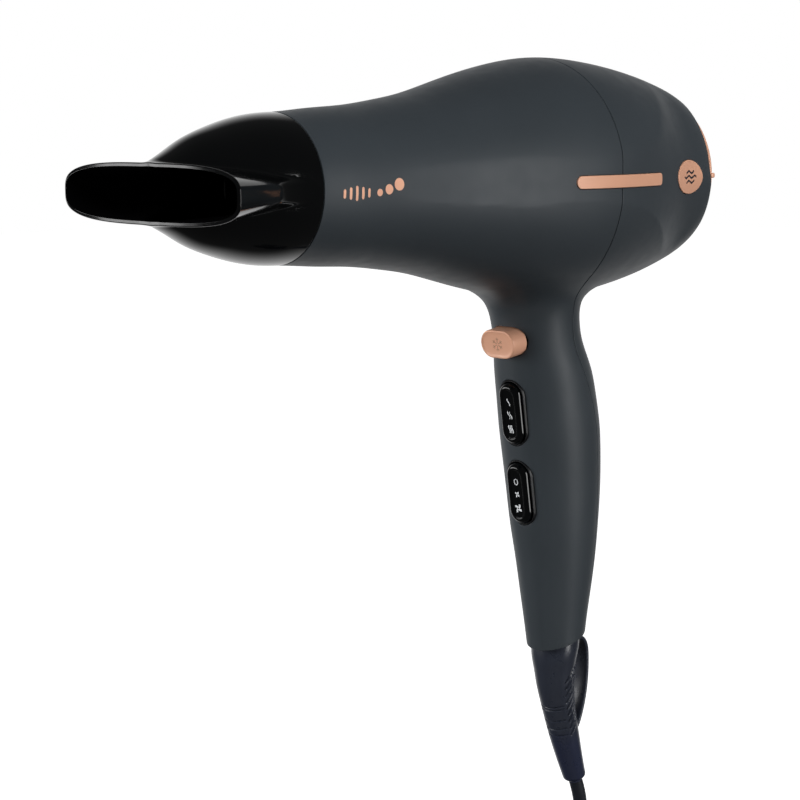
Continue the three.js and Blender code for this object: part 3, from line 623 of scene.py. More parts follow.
def scaled(colour, factor):
    return tuple(min(1.0, c * factor) for c in colour[:3]) + (1.0,)


class Nodes:
    """A small wrapper that makes a material's nodes and links them."""

    def __init__(self, name):
        self.material = bpy.data.materials.new(name)
        self.material.use_nodes = True
        self.tree = self.material.node_tree
        self.shader = self.tree.nodes["Principled BSDF"]
        self.place = self.add("ShaderNodeTexCoord").outputs["Object"]

    def add(self, kind, **settings):
        node = self.tree.nodes.new(kind)
        for key, value in settings.items():
            setattr(node, key, value)
        return node

    def link(self, source, target):
        self.tree.links.new(source, target)

    def mapped(self, scale=(1, 1, 1)):
        node = self.add("ShaderNodeMapping")
        node.inputs["Scale"].default_value = scale
        self.link(self.place, node.inputs["Vector"])
        return node.outputs["Vector"]

    def noise(self, scale, detail=2.0, roughness=0.5, stretch=(1, 1, 1)):
        node = self.add("ShaderNodeTexNoise")
        node.inputs["Scale"].default_value = scale
        node.inputs["Detail"].default_value = detail
        node.inputs["Roughness"].default_value = roughness
        self.link(self.mapped(stretch), node.inputs["Vector"])
        return node.outputs["Fac"]

    def ranged(self, source, low, high, from_low=0.3, from_high=0.7):
        node = self.add("ShaderNodeMapRange")
        node.inputs["From Min"].default_value = from_low
        node.inputs["From Max"].default_value = from_high
        node.inputs["To Min"].default_value = low
        node.inputs["To Max"].default_value = high
        self.link(source, node.inputs["Value"])
        return node.outputs["Result"]

    def ramp(self, source, stops):
        node = self.add("ShaderNodeValToRGB")
        elements = node.color_ramp.elements
        elements[0].position, elements[0].color = stops[0]
        elements[1].position, elements[1].color = stops[-1]
        for position, colour in stops[1:-1]:
            elements.new(position).color = colour
        self.link(source, node.inputs["Fac"])
        return node.outputs["Color"]

    def bump(self, source, strength, distance):
        node = self.add("ShaderNodeBump")
        node.inputs["Strength"].default_value = strength
        node.inputs["Distance"].default_value = distance
        self.link(source, node.inputs["Height"])
        self.link(node.outputs["Normal"], self.shader.inputs["Normal"])

    def set(self, **values):
        for key, value in values.items():
            self.shader.inputs[key.replace("_", " ")].default_value = value
        return self


def moulded(name, colour, roughness, spread=0.04, tone=0.08, grain=0.35, strength=0.12, depth=0.02,
            **values):
    """Moulded or painted plastic: a faint cloud in the tone and gloss, and a fine skin."""
    n = Nodes(name)
    cloud = n.noise(28, 3)
    n.link(n.ramp(cloud, [(0.3, scaled(colour, 1 - tone)), (0.7, scaled(colour, 1 + tone))]),
           n.shader.inputs["Base Color"])
    fine = n.noise(1000 / grain, 2, 0.6)
    n.link(n.ranged(n.noise(190, 4), roughness - spread, roughness + spread), n.shader.inputs["Roughness"])
    n.bump(fine, strength, depth * MM)
    return n.set(**values).material


def metal(name, colour, roughness, stretch=(1, 1, 1), scale=900, strength=0.1, tone=0.12, **values):
    """Drawn or turned metal, with fine lines along the stretched axis."""
    n = Nodes(name)
    lines = n.noise(scale, 3, 0.6, stretch)
    n.link(n.ramp(lines, [(0.3, scaled(colour, 1 - tone)), (0.7, scaled(colour, 1 + tone))]),
           n.shader.inputs["Base Color"])
    n.link(n.ranged(lines, roughness - 0.06, roughness + 0.08), n.shader.inputs["Roughness"])
    n.bump(lines, strength, 0.02 * MM)
    return n.set(**{"Metallic": 1.0, **values}).material


def banded(name, first, second, direction, pitch, roughness, metallic=0.0, depth=0.2):
    """Even bands, for windings, laminations and woven wire."""
    n = Nodes(name)
    wave = n.add("ShaderNodeTexWave", wave_type="BANDS", bands_direction=direction, wave_profile="SIN")
    wave.inputs["Scale"].default_value = 1000 * 2 * math.pi / (20 * pitch)
    wave.inputs["Distortion"].default_value = 0.6
    wave.inputs["Detail"].default_value = 1.0
    n.link(n.place, wave.inputs["Vector"])
    n.link(n.ramp(wave.outputs["Fac"], [(0.2, second), (0.75, first)]), n.shader.inputs["Base Color"])
    n.link(n.ranged(n.noise(400, 2), roughness - 0.05, roughness + 0.08), n.shader.inputs["Roughness"])
    n.bump(wave.outputs["Fac"], 0.6, depth * MM)
    return n.set(Metallic=metallic).material


def layered(name, colour, roughness):
    """Mica paper: flakes and cloudy layers."""
    n = Nodes(name)
    cells = n.add("ShaderNodeTexVoronoi", feature="F1")
    cells.inputs["Scale"].default_value = 420
    n.link(n.mapped(), cells.inputs["Vector"])
    n.link(n.ramp(cells.outputs["Distance"], [(0.1, scaled(colour, 1.25)), (0.6, scaled(colour, 0.75))]),
           n.shader.inputs["Base Color"])
    n.link(n.ranged(n.noise(90, 4), roughness - 0.1, roughness + 0.1), n.shader.inputs["Roughness"])
    n.bump(n.noise(700, 4), 0.3, 0.05 * MM)
    return n.material


def circuit(name, colour, trace):
    """Circuit board: solder mask with straight copper traces under it."""
    n = Nodes(name)
    brick = n.add("ShaderNodeTexBrick")
    brick.inputs["Scale"].default_value = 180
    brick.inputs["Mortar Size"].default_value = 0.03
    brick.inputs["Color1"].default_value = colour
    brick.inputs["Color2"].default_value = scaled(colour, 1.2)
    brick.inputs["Mortar"].default_value = trace
    turn = n.add("ShaderNodeMapping")
    turn.inputs["Rotation"].default_value = (math.pi / 2, 0, math.pi / 2)
    n.link(n.place, turn.inputs["Vector"])
    n.link(turn.outputs["Vector"], brick.inputs["Vector"])
    n.link(brick.outputs["Color"], n.shader.inputs["Base Color"])
    n.link(n.ranged(n.noise(300, 2), 0.3, 0.42), n.shader.inputs["Roughness"])
    n.bump(brick.outputs["Fac"], 0.4, 0.03 * MM)
    return n.material


FINISH = {}


# ----------------------------------------------------------------------------------------------
# Settings
# ----------------------------------------------------------------------------------------------
class CasingSettings(bpy.types.PropertyGroup):
    colour: bpy.props.FloatVectorProperty(
        name="Colour", description="Colour of the casing's satin paint", subtype="COLOR", size=4,
        min=0, max=1, default=hex_colour("3c4247"))
    wall: bpy.props.FloatProperty(
        name="Wall", description="Thickness of the casing's wall", default=2.2 * MM, unit="LENGTH")
    seam_gap: bpy.props.FloatProperty(
        name="Seam gap", description="Width of the joint between the casing's halves",
        default=0.3 * MM, unit="LENGTH")
    cell: bpy.props.FloatProperty(
        name="Mesh cell", description="Size of the faces on the casing", default=1.5 * MM, unit="LENGTH")


class TrimSettings(bpy.types.PropertyGroup):
    colour: bpy.props.FloatVectorProperty(
        name="Colour", description="Colour of the satin rose-gold trim", subtype="COLOR", size=4,
        min=0, max=1, default=hex_colour("f0b494"))
    stand: bpy.props.FloatProperty(
        name="Stand", description="How far the side trim stands out of the casing",
        default=0.35 * MM, unit="LENGTH")


class NozzleSettings(bpy.types.PropertyGroup):
    colour: bpy.props.FloatVectorProperty(
        name="Colour", description="Colour of the gloss nozzle and rockers", subtype="COLOR", size=4,
        min=0, max=1, default=hex_colour("040506"))
    wall: bpy.props.FloatProperty(
        name="Wall", description="Thickness of the nozzle's wall", default=1.3 * MM, unit="LENGTH")
    cell: bpy.props.FloatProperty(
        name="Mesh cell", description="Size of the faces on the nozzle", default=0.9 * MM, unit="LENGTH")


class LeadSettings(bpy.types.PropertyGroup):
    colour: bpy.props.FloatVectorProperty(
        name="Colour", description="Colour of the lead, plug and strain relief", subtype="COLOR", size=4,
        min=0, max=1, default=hex_colour("1f222a"))
    slot_depth: bpy.props.FloatProperty(
        name="Slot depth", description="Depth of the slots round the strain relief",
        default=1.0 * MM, unit="LENGTH")


class IntakeSettings(bpy.types.PropertyGroup):
    slats: bpy.props.IntProperty(
        name="Slats", description="Number of slats across the rear intake", default=32, min=8, max=72)
    slat_width: bpy.props.FloatProperty(
        name="Slat width", description="Width of one slat of the rear intake",
        default=1.6 * MM, unit="LENGTH")


class StageSettings(bpy.types.PropertyGroup):
    floor_height: bpy.props.FloatProperty(
        name="Floor height", description="Height of the studio floor", default=-0.346, unit="LENGTH")
    light: bpy.props.FloatProperty(
        name="Light", description="Strength of the studio lights, as a share of the usual",
        default=1.0, min=0, max=4)


SETTINGS = {
    "dryer_casing": CasingSettings, "dryer_trim": TrimSettings, "dryer_nozzle": NozzleSettings,
    "dryer_lead": LeadSettings, "dryer_intake": IntakeSettings, "dryer_stage": StageSettings,
}


# ----------------------------------------------------------------------------------------------
# Operators
# ----------------------------------------------------------------------------------------------
def area_light(name, place, target, size, power):
    data = bpy.data.lights.new(name, "AREA")
    data.shape = "RECTANGLE"
    data.size, data.size_y = size
    data.energy = power
    light = bpy.data.objects.new(name, data)
    direction = Vector(target) - Vector(place)
    light.matrix_world = Matrix.Translation(place) @ direction.to_track_quat("-Z", "Y").to_matrix().to_4x4()
    bpy.context.scene.collection.objects.link(light)
    return light


def studio_world(light):
    """A dim room with a white backdrop behind the dryer, and plain white to the camera."""
    world = bpy.data.worlds.new("studio")
    world.use_nodes = True
    tree = world.node_tree
    back = tree.nodes["Background"]
    back.inputs["Color"].default_value = (1, 1, 1, 1)
    way = tree.nodes.new("ShaderNodeVectorMath")
    way.operation = "DOT_PRODUCT"
    way.inputs[1].default_value = BACKDROP["way"]
    tree.links.new(tree.nodes.new("ShaderNodeTexCoord").outputs["Generated"], way.inputs[0])
    glow = tree.nodes.new("ShaderNodeMapRange")
    glow.interpolation_type = "SMOOTHSTEP"
    glow.inputs["From Min"].default_value, glow.inputs["From Max"].default_value = BACKDROP["edge"]
    glow.inputs["To Min"].default_value = BACKDROP["room"] * light
    glow.inputs["To Max"].default_value = BACKDROP["white"] * light
    tree.links.new(way.outputs["Value"], glow.inputs["Value"])
    path = tree.nodes.new("ShaderNodeLightPath")
    level = tree.nodes.new("ShaderNodeMapRange")
    level.inputs["To Max"].default_value = 1.0
    tree.links.new(path.outputs["Is Camera Ray"], level.inputs["Value"])
    tree.links.new(glow.outputs["Result"], level.inputs["To Min"])
    tree.links.new(level.outputs["Result"], back.inputs["Strength"])
    return world


# Which way the backdrop lies, how far round it reaches as cosines, and how bright it and the room are
BACKDROP = {"way": (-0.69, -0.70, -0.18), "edge": (0.55, 0.95), "room": 0.055, "white": 1.0}
# Name, degrees round from +X, degrees up, distance, size, watts, and whether gloss mirrors it
STUDIO_LIGHTS = [
    ("side", 104, 0, 1.2, (0.40, 0.95), 7.5, True),
    ("above", 50, 55, 1.2, (0.9, 0.5), 6.5, False),
    ("front", -32, 4, 1.1, (0.5, 0.7), 6.5, False),
    ("strip", -46, 0, 1.11, (0.7, 0.3), 3.0, True),
    ("below", 40, -55, 0.9, (0.9, 0.35), 2.0, False),
]


class DRYER_OT_stage(bpy.types.Operator):
    """Sets up the camera, the pale floor and the studio lights"""
    bl_idname = "dryer.stage"
    bl_label = "Stage"

    def execute(self, context):
        settings = context.scene.dryer_stage
        place_camera()
        reach, z = 6.0, settings.floor_height
        mesh = bpy.data.meshes.new("floor")
        mesh.from_pydata([(-reach, -reach, z), (reach, -reach, z), (reach, reach, z), (-reach, reach, z)],
                         [], [(0, 1, 2, 3)])
        n = Nodes("floor_paper")
        n.link(n.ramp(n.noise(3, 2), [(0.3, (0.93, 0.93, 0.93, 1)), (0.7, (0.95, 0.95, 0.95, 1))]),
               n.shader.inputs["Base Color"])
        n.set(Roughness=0.9, Specular_IOR_Level=0.1, Emission_Color=(1, 1, 1, 1), Emission_Strength=1.0)
        mesh.materials.append(n.material)
        floor = bpy.data.objects.new("floor", mesh)
        floor.visible_diffuse = floor.visible_glossy = False
        context.scene.collection.objects.link(floor)

        context.scene.world = studio_world(settings.light)
        context.scene.view_settings.view_transform = "Standard"
        middle = (0.05, 0.0, 0.06)
        for name, azimuth, height, reach, size, power, mirrored in STUDIO_LIGHTS:
            place = Vector(middle) + reach * direction(azimuth, height)
            light = area_light(name, place, middle, size, power * settings.light)
            light.visible_glossy = mirrored
        return {"FINISHED"}


class DRYER_OT_lead(bpy.types.Operator):
    """Makes the lead with its hank, tie and plug"""
    bl_idname = "dryer.lead"
    bl_label = "Lead"

    def execute(self, context):
        line = lead_line()
        data = bpy.data.curves.new("lead", "CURVE")
        data.dimensions = "3D"
        spline = data.splines.new("POLY")
        fine = refined(line, 2)
        spline.points.add(len(fine) - 1)
        for point, place in zip(spline.points, fine):
            point.co = (*(c * MM for c in place), 1)
        data.bevel_depth = CORD_RADIUS * MM
        data.bevel_resolution = 5
        data.use_fill_caps = True
        data.materials.append(FINISH["lead"])
        lead = bpy.data.objects.new("lead", data)
        context.scene.collection.objects.link(lead)
        hand_over(lead, "root", "black_rubber", "power_cord", "cord_hank", "plug_lead")
        tie = new_object("hank_tie", *self.tie(), FINISH["satin_black"], angle=40)
        hand_over(tie, "root", "satin_black", "cord_tie")
        plug = new_object("plug", *self.plug(), FINISH["lead"], angle=50)
        hand_over(plug, "root", "black_rubber", "plug_body")
        return {"FINISHED"}

    def tie(self):
        low, high = (np.array(c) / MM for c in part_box("cord_tie"))
        centre, half = (low + high) / 2, (high - low) / 2
        rings = []
        thickness = 1.2
        for height, inset in ((-half[2], 0.35), (-half[2] + 0.35, 0), (half[2] - 0.35, 0), (half[2], 0.35),
                              (half[2], thickness), (-half[2], thickness)):
            outline = pill_outline(2 * (half[0] - inset), 2 * (half[1] - inset), 96)
            square = rounded_outline(2 * (half[0] - inset), 2 * (half[1] - inset), 5.0, len(outline))
            rings.append([(centre[0] + u, centre[1] + v, centre[2] + height) for u, v in square])
        return stacked(rings, loop=True)

    def plug(self):
        low, high = (np.array(c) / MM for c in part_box("plug_body"))
        centre = (low + high) / 2
        sections = smooth_curve([
            (-252.9, 4.4, 4.4), (-257, 4.9, 4.9), (-262, 5.4, 5.4), (-268, 6.8, 6.6), (-272, 9.8, 8.4),
            (-277, 14.2, 10.2), (-284, 16.9, 10.9), (-290, 17.4, 11.0), (-296, 17.5, 11.0),
            (-302.4, 17.3, 10.8),
        ])
        rings = []
        for z in np.linspace(high[2], -302.4, 90):
            width, depth = sections(z)
            power = 2 + 1.4 * ease(-z, 266, 278)
            groove = 0.35 * (0.5 + 0.5 * math.cos(2 * math.pi * (z + 284) / 3.0)) * ease(-z, 276, 279) * (
                1 - ease(-z, 290, 293))
            rings.append([
                (centre[0] + width * signed_power(math.cos(a), 2 / power),
                 centre[1] + (depth - groove * ease(abs(math.sin(a)), 0.55, 0.8))
                 * signed_power(math.sin(a), 2 / power), z)
                for a in np.linspace(0, 2 * math.pi, 72, endpoint=False)])
        for inset, z in ((0.25, -303.2), (0.8, -303.8), (1.5, low[2])):
            rings.append([(centre[0] + (17.3 - inset) * signed_power(math.cos(a), 0.6),
                           centre[1] + (10.8 - inset) * signed_power(math.sin(a), 0.6), z)
                          for a in np.linspace(0, 2 * math.pi, 72, endpoint=False)])
        points, faces = stacked(rings)
        return points, [f[::-1] for f in faces]


def signed_power(value, power):
    return math.copysign(abs(value) ** power, value)


def rounded_outline(width, length, radius, count):
    """A rectangle with round corners, as evenly spread points."""
    radius = min(radius, width / 2, length / 2)
    corners = []
    for quarter, (su, sv) in enumerate(((1, 1), (-1, 1), (-1, -1), (1, -1))):
        centre_u, centre_v = su * (width / 2 - radius), sv * (length / 2 - radius)
        for step in range(count // 4):
            angle = math.pi / 2 * (quarter + step / (count // 4 - 1))
            corners.append((centre_u + radius * math.cos(angle), centre_v + radius * math.sin(angle)))
    return corners


def refined(points, times):
    """A Catmull-Rom curve through the points, with that many steps between two of them."""
    p = np.array(points, float)
    padded = np.concatenate([[2 * p[0] - p[1]], p, [2 * p[-1] - p[-2]]])
    out = []
    for i in range(1, len(padded) - 2):
        a, b, c, d = padded[i - 1:i + 3]
        for step in range(times):
            t = step / times
            out.append(0.5 * (2 * b + (c - a) * t + (2 * a - 5 * b + 4 * c - d) * t * t
                              + (3 * b - a - 3 * c + d) * t ** 3))
    out.append(p[-1])
    return [tuple(q) for q in out]


def control_hole(switch, clearance, lip):
    def side(points):
        local = control_local(switch, points)
        reach = pill_distance(local[:, 1], local[:, 2], switch["width"], switch["length"])
        return np.where(local[:, 0] < -10, 50.0, reach - clearance - lip)
    return side


def bar_distance(points):
    """Distance from the outline of the side inlay: a slim bar with a blunt point in front."""
    centre, half = (INLAY["front"] + INLAY["rear"]) / 2, (INLAY["front"] - INLAY["rear"]) / 2
    x, z = points[:, 0] - centre, points[:, 2] - AXIS_Z
    radius = np.where(x > 0, INLAY["half_height"] - 0.1, 1.3)
    dx, dz = np.abs(x) - (half - radius), np.abs(z) - (INLAY["half_height"] - radius)
    return np.hypot(np.maximum(dx, 0), np.maximum(dz, 0)) + np.minimum(np.maximum(dx, dz), 0) - radius


def badge_distance(points):
    x = (points[:, 0] - BADGE["x"]) / BADGE["half_length"]
    z = (points[:, 2] - AXIS_Z) / BADGE["half_height"]
    reach = np.maximum(np.hypot(x, z), 1e-6)
    slope = np.hypot(x / BADGE["half_length"], z / BADGE["half_height"]) / reach
    return (reach - 1) / np.maximum(slope, 1e-6)


def seam_side(sign, gap, lip):
    def side(points):
        return sign * (points[:, 0] - seam_x(points[:, 2])[:, 0]) - gap / 2 - lip
    return side


def beyond(distance, margin):
    return lambda points: distance(points) - margin


def bottom_side(margin):
    slope = HANDLE_END["slope"]
    steep = math.hypot(1, slope)

    def side(points):
        edge = HANDLE_END["z"] - slope * (points[:, 0] - HANDLE_END["x"])
        return (points[:, 2] - edge) / steep - margin
    return side


def screw_hole(height, lip):
    def side(points):
        reach = np.hypot(points[:, 1], points[:, 2] - height) - SCREW_HOLE_RADIUS - lip
        return np.where(points[:, 0] > seam_x(points[:, 2])[:, 0], 50.0, reach)
    return side


class DRYER_OT_casing(bpy.types.Operator):
    """Makes the front and rear casing with their rounded joint and openings"""
    bl_idname = "dryer.casing"
    bl_label = "Casing"

    def execute(self, context):
        settings = context.scene.dryer_casing
        cell, wall, gap = settings.cell / MM, settings.wall / MM, settings.seam_gap / MM
        lip = CASING_LIP
        low = (HEAD_REAR_X - 3, -50, -99)
        high = (BARREL_FRONT_X + 4, 50, 150)
        pockets = [beyond(d, POCKET_CLEARANCE + lip) for d in (bar_distance, badge_distance)]
        controls = [control_hole(COLD_SHOT, CONTROL_CLEARANCE, lip),
                    *(control_hole(switch, BEZEL_CLEARANCE, lip) for switch in (HEAT_SWITCH, SPEED_SWITCH))]
        end = bottom_side(lip)
        front_sides = [seam_side(1, gap, lip), lambda p: BARREL_FRONT_X - lip - p[:, 0], end, pockets[0],
                       *controls]
        rear_sides = [seam_side(-1, gap, lip), lambda p: p[:, 0] - HEAD_REAR_X - lip, end, *pockets,
                      *[screw_hole(h, lip) for h in SCREW_HEIGHTS]]
        for name, node, sides, near, far in (
                ("casing_front", "front_casing", front_sides, (-16, low[1], low[2]), high),
                ("casing_rear", "rear_casing", rear_sides, low, (16, high[1], high[2]))):
            points, faces = skin_piece(body_field, near, far, cell, sides)
            points, faces, normals = shelled(body_field, points, faces, wall, lip)
            piece = new_object(name, points, faces, FINISH["graphite"], normals)
            hand_over(piece, "root", "graphite_casing", node)
        return {"FINISHED"}


class DRYER_OT_trim(bpy.types.Operator):
    """Makes the side inlays, the badges and the printed motif on the barrel"""
    bl_idname = "dryer.trim"
    bl_label = "Trim"

    def execute(self, context):
        stand = context.scene.dryer_trim.stand / MM
        for side_name, sign in (("left", 1), ("right", -1)):
            self.plate(f"inlay_{side_name}", f"side_inlay_{side_name}", sign, bar_distance, stand,
                       (-18, 37), 3.5, 0.55)
            self.plate(f"badge_{side_name}", f"side_badge_{side_name}", sign, badge_distance, stand,
                       (-54, -28), 8, 0.6)
            for name, distance, finish in (("mark", motif_distance, "rose_gold_print"),
                                           ("badge_mark", badge_mark_distance, "dark_print")):
                self.print_on(f"{name}_{side_name}", sign, distance, finish)
        return {"FINISHED"}

    def plate(self, name, node, sign, distance, stand, span, reach, cell):
        field = lambda p: body_field(p) - stand
        low_y, high_y = (26, 49) if sign > 0 else (-49, -26)
        near, far = (span[0], low_y, AXIS_Z - reach), (span[1], high_y, AXIS_Z + reach)
        points, faces = skin_piece(field, near, far, cell, [lambda p: -distance(p) - 0.3])
        points, faces, normals = shelled(field, points, faces, 1.1, 0.3)
        piece = new_object(name, points, faces, FINISH["rose_gold"], normals)
        hand_over(piece, "root", "rose_gold", node)

    def print_on(self, name, sign, distance, finish):
        stand = 0.06 if name.startswith("mark") else bpy.context.scene.dryer_trim.stand / MM + 0.05
        field = lambda p: body_field(p) - stand
        low_y, high_y = (24, 49) if sign > 0 else (-49, -24)
        span = (110, 142) if name.startswith("mark") else (-54, -28)
        points, faces = skin_piece(field, (span[0], low_y, AXIS_Z - 8), (span[1], high_y, AXIS_Z + 8),
                                   0.45, [lambda p: -distance(p) - 0.02])
        points, faces, normals = shelled(field, points, faces, 0.04, 0.02, 1)
        piece = new_object(name, points, faces, FINISH[finish], normals)
        hand_over(piece, "root", "rose_gold" if finish == "rose_gold_print" else "satin_black")


def motif_distance(points):
    """A plain row of upright dashes that ends in three dots of growing size."""
    x, z = points[:, 0], points[:, 2] - AXIS_Z
    nearest = np.full(len(points), 99.0)
    for i, height in enumerate((1.1, 1.6, 2.1, 1.6, 1.1)):
        at = 137.6 - 2.7 * i
        nearest = np.minimum(nearest, np.hypot(x - at, np.maximum(np.abs(z + 1.2) - height, 0)) - 0.55)
    for at, height, radius in ((121.9, -1.2, 1.3), (117.6, -0.2, 1.8), (112.9, 1.4, 2.2)):
        nearest = np.minimum(nearest, np.hypot(x - at, z - height) - radius)
    return nearest


def badge_mark_distance(points):
    """Three short level waves, one above the other."""
    x, z = points[:, 0] - BADGE["x"], points[:, 2] - AXIS_Z
    nearest = np.full(len(points), 99.0)
    for row, half in ((1.9, 3.0), (0, 4.6), (-1.9, 3.0)):
        wave = row + 0.45 * np.sin(x * 1.35)
        nearest = np.minimum(nearest, np.hypot(np.maximum(np.abs(x) - half, 0), z - wave) - 0.42)
    return nearest


class DRYER_OT_nozzle(bpy.types.Operator):
    """Makes the slot nozzle with its spigot"""
    bl_idname = "dryer.nozzle"
    bl_label = "Nozzle"

    def execute(self, context):
        settings = context.scene.dryer_nozzle
        cell, wall, lip = settings.cell / MM, settings.wall / MM, NOZZLE_LIP
        points, faces = skin_piece(
            nozzle_field, (NOZZLE_REAR_X - 3, -50, AXIS_Z - 29), (NOZZLE_FRONT_X + 3, 50, AXIS_Z + 29),
            cell,
            [lambda p: p[:, 0] - NOZZLE_REAR_X - lip, lambda p: NOZZLE_FRONT_X - lip - p[:, 0]])
        skin_faces = len(faces)
        points, faces, normals = shelled(nozzle_field, points, faces, wall, lip)
        spigot, spigot_faces = turned(
            [(139.6, 22.9), (140.0, 22.6), (148.9, 22.6), (149.2, 22.9), (149.2, 25.9), (147.4, 25.9),
             (147.4, 24.0), (147.0, 23.8), (141.4, 23.8), (139.6, 23.3)], 96)
        outer = new_object("nozzle_shell", points, faces, FINISH["gloss_black"], normals)
        # The inner faces take a matt black that barely reflects: painted shade inside the slot.
        outer.data.materials.append(FINISH["painted_shade_black"])
        for face in outer.data.polygons[skin_faces:2 * skin_faces]:
            face.material_index = 1
        inner = outward(new_object("nozzle_spigot", spigot, spigot_faces, FINISH["gloss_black"], angle=35))
        hand_over(outer, "nozzle", "gloss_black", "concentrator_nozzle")
        hand_over(inner, "nozzle", "gloss_black")
        return {"FINISHED"}


class DRYER_OT_controls(bpy.types.Operator):
    """Makes the cold-shot button and both rockers with their bezels and marks"""
    bl_idname = "dryer.controls"
    bl_label = "Controls"

    def execute(self, context):
        self.cold_shot()
        for name, switch, marks in (
                ("heat", HEAT_SWITCH, heat_marks()), ("speed", SPEED_SWITCH, speed_marks())):
            self.bezel(name, switch)
            self.rocker(name, switch)
            self.marks(f"{name}_marks", switch, marks, f"{name}_switch", "white_print", rocker_face)
        return {"FINISHED"}

    def cold_shot(self):
        rings = []
        for inset, height in ((0, -3.0), (0, 3.95), (0.05, 4.25), (0.18, 4.47), (0.4, 4.58), (0.62, 4.6),
                              (0.95, 4.52), (1.25, 4.4), (1.5, 4.36), (3.5, 4.36), (5.4, 4.36)):
            outline = pill_outline(COLD_SHOT["width"] - 2 * inset, COLD_SHOT["length"] - 2 * inset)
            rings.append([(height, u, v) for u, v in outline])
        points, faces = stacked(rings)
        button = outward(new_object("cold_shot_cap", control_place(COLD_SHOT, points), faces,
                                    FINISH["rose_gold"], angle=60))
        hand_over(button, "cold_shot", "rose_gold", "cold_shot_button")
        self.marks("cold_shot_mark", COLD_SHOT, flake_marks(), "cold_shot", "rose_gold_deep",
                   lambda u, v: 4.35)

    def bezel(self, name, switch):
        rings = []
        for grow, height in ((1.0, -6.4), (1.0, -0.25), (0.9, 0.0), (0.7, 0.1), (0.5, 0.0), (0.4, -0.25),
                             (0.4, -6.4)):
            outline = pill_outline(switch["width"] + 2 * grow, switch["length"] + 2 * grow)
            rings.append([(height, u, v) for u, v in outline])
        points, faces = stacked(rings, loop=True)
        piece = outward(new_object(f"{name}_surround", control_place(switch, points), faces,
                                   FINISH["satin_black"], angle=60))
        hand_over(piece, "root", "satin_black", f"{name}_bezel")

    def rocker(self, name, switch):
        rings = []
        width, length = switch["width"], switch["length"]
        for inset, height in ((0, -4.6), (0, 0.1), (0.05, 0.55), (0.18, 1.0), (0.42, 1.45), (0.78, 1.86),
                              (1.2, 2.15), (1.65, 2.32), (2.05, 2.38), (2.3, 2.37), (2.42, 2.31),
                              (2.52, 2.22), (2.66, 2.19), (3.0, 2.18), (3.5, 2.18), (4.2, 2.17),
                              (5.0, 2.17), (5.28, 2.17)):
            outline = pill_outline(width - 2 * inset, length - 2 * inset)
            rings.append([(height - dish(u, v) * ease(inset, 1.0, 2.6), u, v) for u, v in outline])
        points, faces = stacked(rings)
        piece = outward(new_object(f"{name}_key", control_place(switch, points), faces,
                                   FINISH["gloss_black"], angle=70))
        hand_over(piece, f"{name}_switch", "gloss_black", f"{name}_rocker")

    def marks(self, name, switch, strokes, body, finish, face):
        points, faces = merged([ribbon(line, width, face) for line, width in strokes])
        piece = outward(new_object(name, control_place(switch, points), faces, FINISH[finish],
                                   smooth=False))
        hand_over(piece, body, "white_nylon" if finish == "white_print" else "rose_gold")


def dish(u, v):
    """How far the finger pad is hollowed at a point."""
    return 0.4 * max(0.0, 1 - (v / 11.5) ** 2)


def rocker_face(u, v):
    return 2.2 - dish(u, v)


def wave_line(u, v, length, lean):
    points = []
    for t in np.linspace(-0.5, 0.5, 15):
        points.append((u + lean * t + 0.28 * math.sin(2 * math.pi * t), v - length * t))
    return points


def heat_marks():
    strokes = [(wave_line(0, 4.9, 2.9, 0.9), 0.45)]
    strokes += [(wave_line(u, -0.4, 2.9, 0.8), 0.42) for u in (-0.5, 0.5)]
    strokes += [(wave_line(u, -6.0, 3.1, 0.4), 0.42) for u in (-0.8, 0, 0.8)]
    return strokes


def speed_marks():
    ring = [(0.9 * math.cos(a), 5.0 + 1.15 * math.sin(a)) for a in np.linspace(0, 2 * math.pi, 33)]
    strokes = [(ring, 0.36)]
    for centre, size in ((-0.2, 1.2), (-5.9, 1.75)):
        for blade in range(4):
            turn = math.pi / 2 * blade + 0.5
            line = []
            for t in np.linspace(0.18, 1.0, 9):
                angle = turn + 0.7 * t
                line.append((size * t * math.cos(angle), centre + size * t * math.sin(angle)))
            strokes.append((line, 0.5 * size))
    return strokes


def flake_marks():
    strokes = []
    for arm in range(6):
        turn = math.pi / 3 * arm + math.pi / 6
        c, s = math.cos(turn), math.sin(turn)
        strokes.append(([(0.5 * c, 0.5 * s), (1.6 * c, 1.6 * s), (2.7 * c, 2.7 * s)], 0.26))
        for lean in (0.9, -0.9):
            cc, ss = math.cos(turn + lean), math.sin(turn + lean)
            strokes.append(([(1.7 * c, 1.7 * s), (1.7 * c + 0.9 * cc, 1.7 * s + 0.9 * ss)], 0.22))
    return strokes


SLEEVE = [
    (-79.5, -3.8, 9.2), (-85, -3.8, 9.8), (-90.4, -3.7, 9.9), (-96.6, -3.6, 8.9), (-104.4, -4.0, 7.9),
    (-111, -5.1, 7.2), (-119.6, -7.2, 6.6), (-128.3, -9.8, 6.1), (-136.5, -12.5, 5.5), (-143, -14.8, 5.0),
    (-147.2, -16.4, 4.7),
]
SLEEVE_NOSE = [(-16.6, -147.65), (-17.0, -148.85)]    # x and height of the collar that meets the lead
FRONT_SLOTS = (-112.6, -113.9, -118.8, -122.4, -125.4)
SIDE_SLOTS = tuple(-99.5 - 2.9 * i for i in range(9))
LOOP_LINE = [
    (-12.0, -87.2), (-16.8, -88.2), (-19.3, -92), (-19.8, -99), (-19.3, -107), (-17.7, -115),
    (-15.0, -122.5), (-12.0, -127),
]


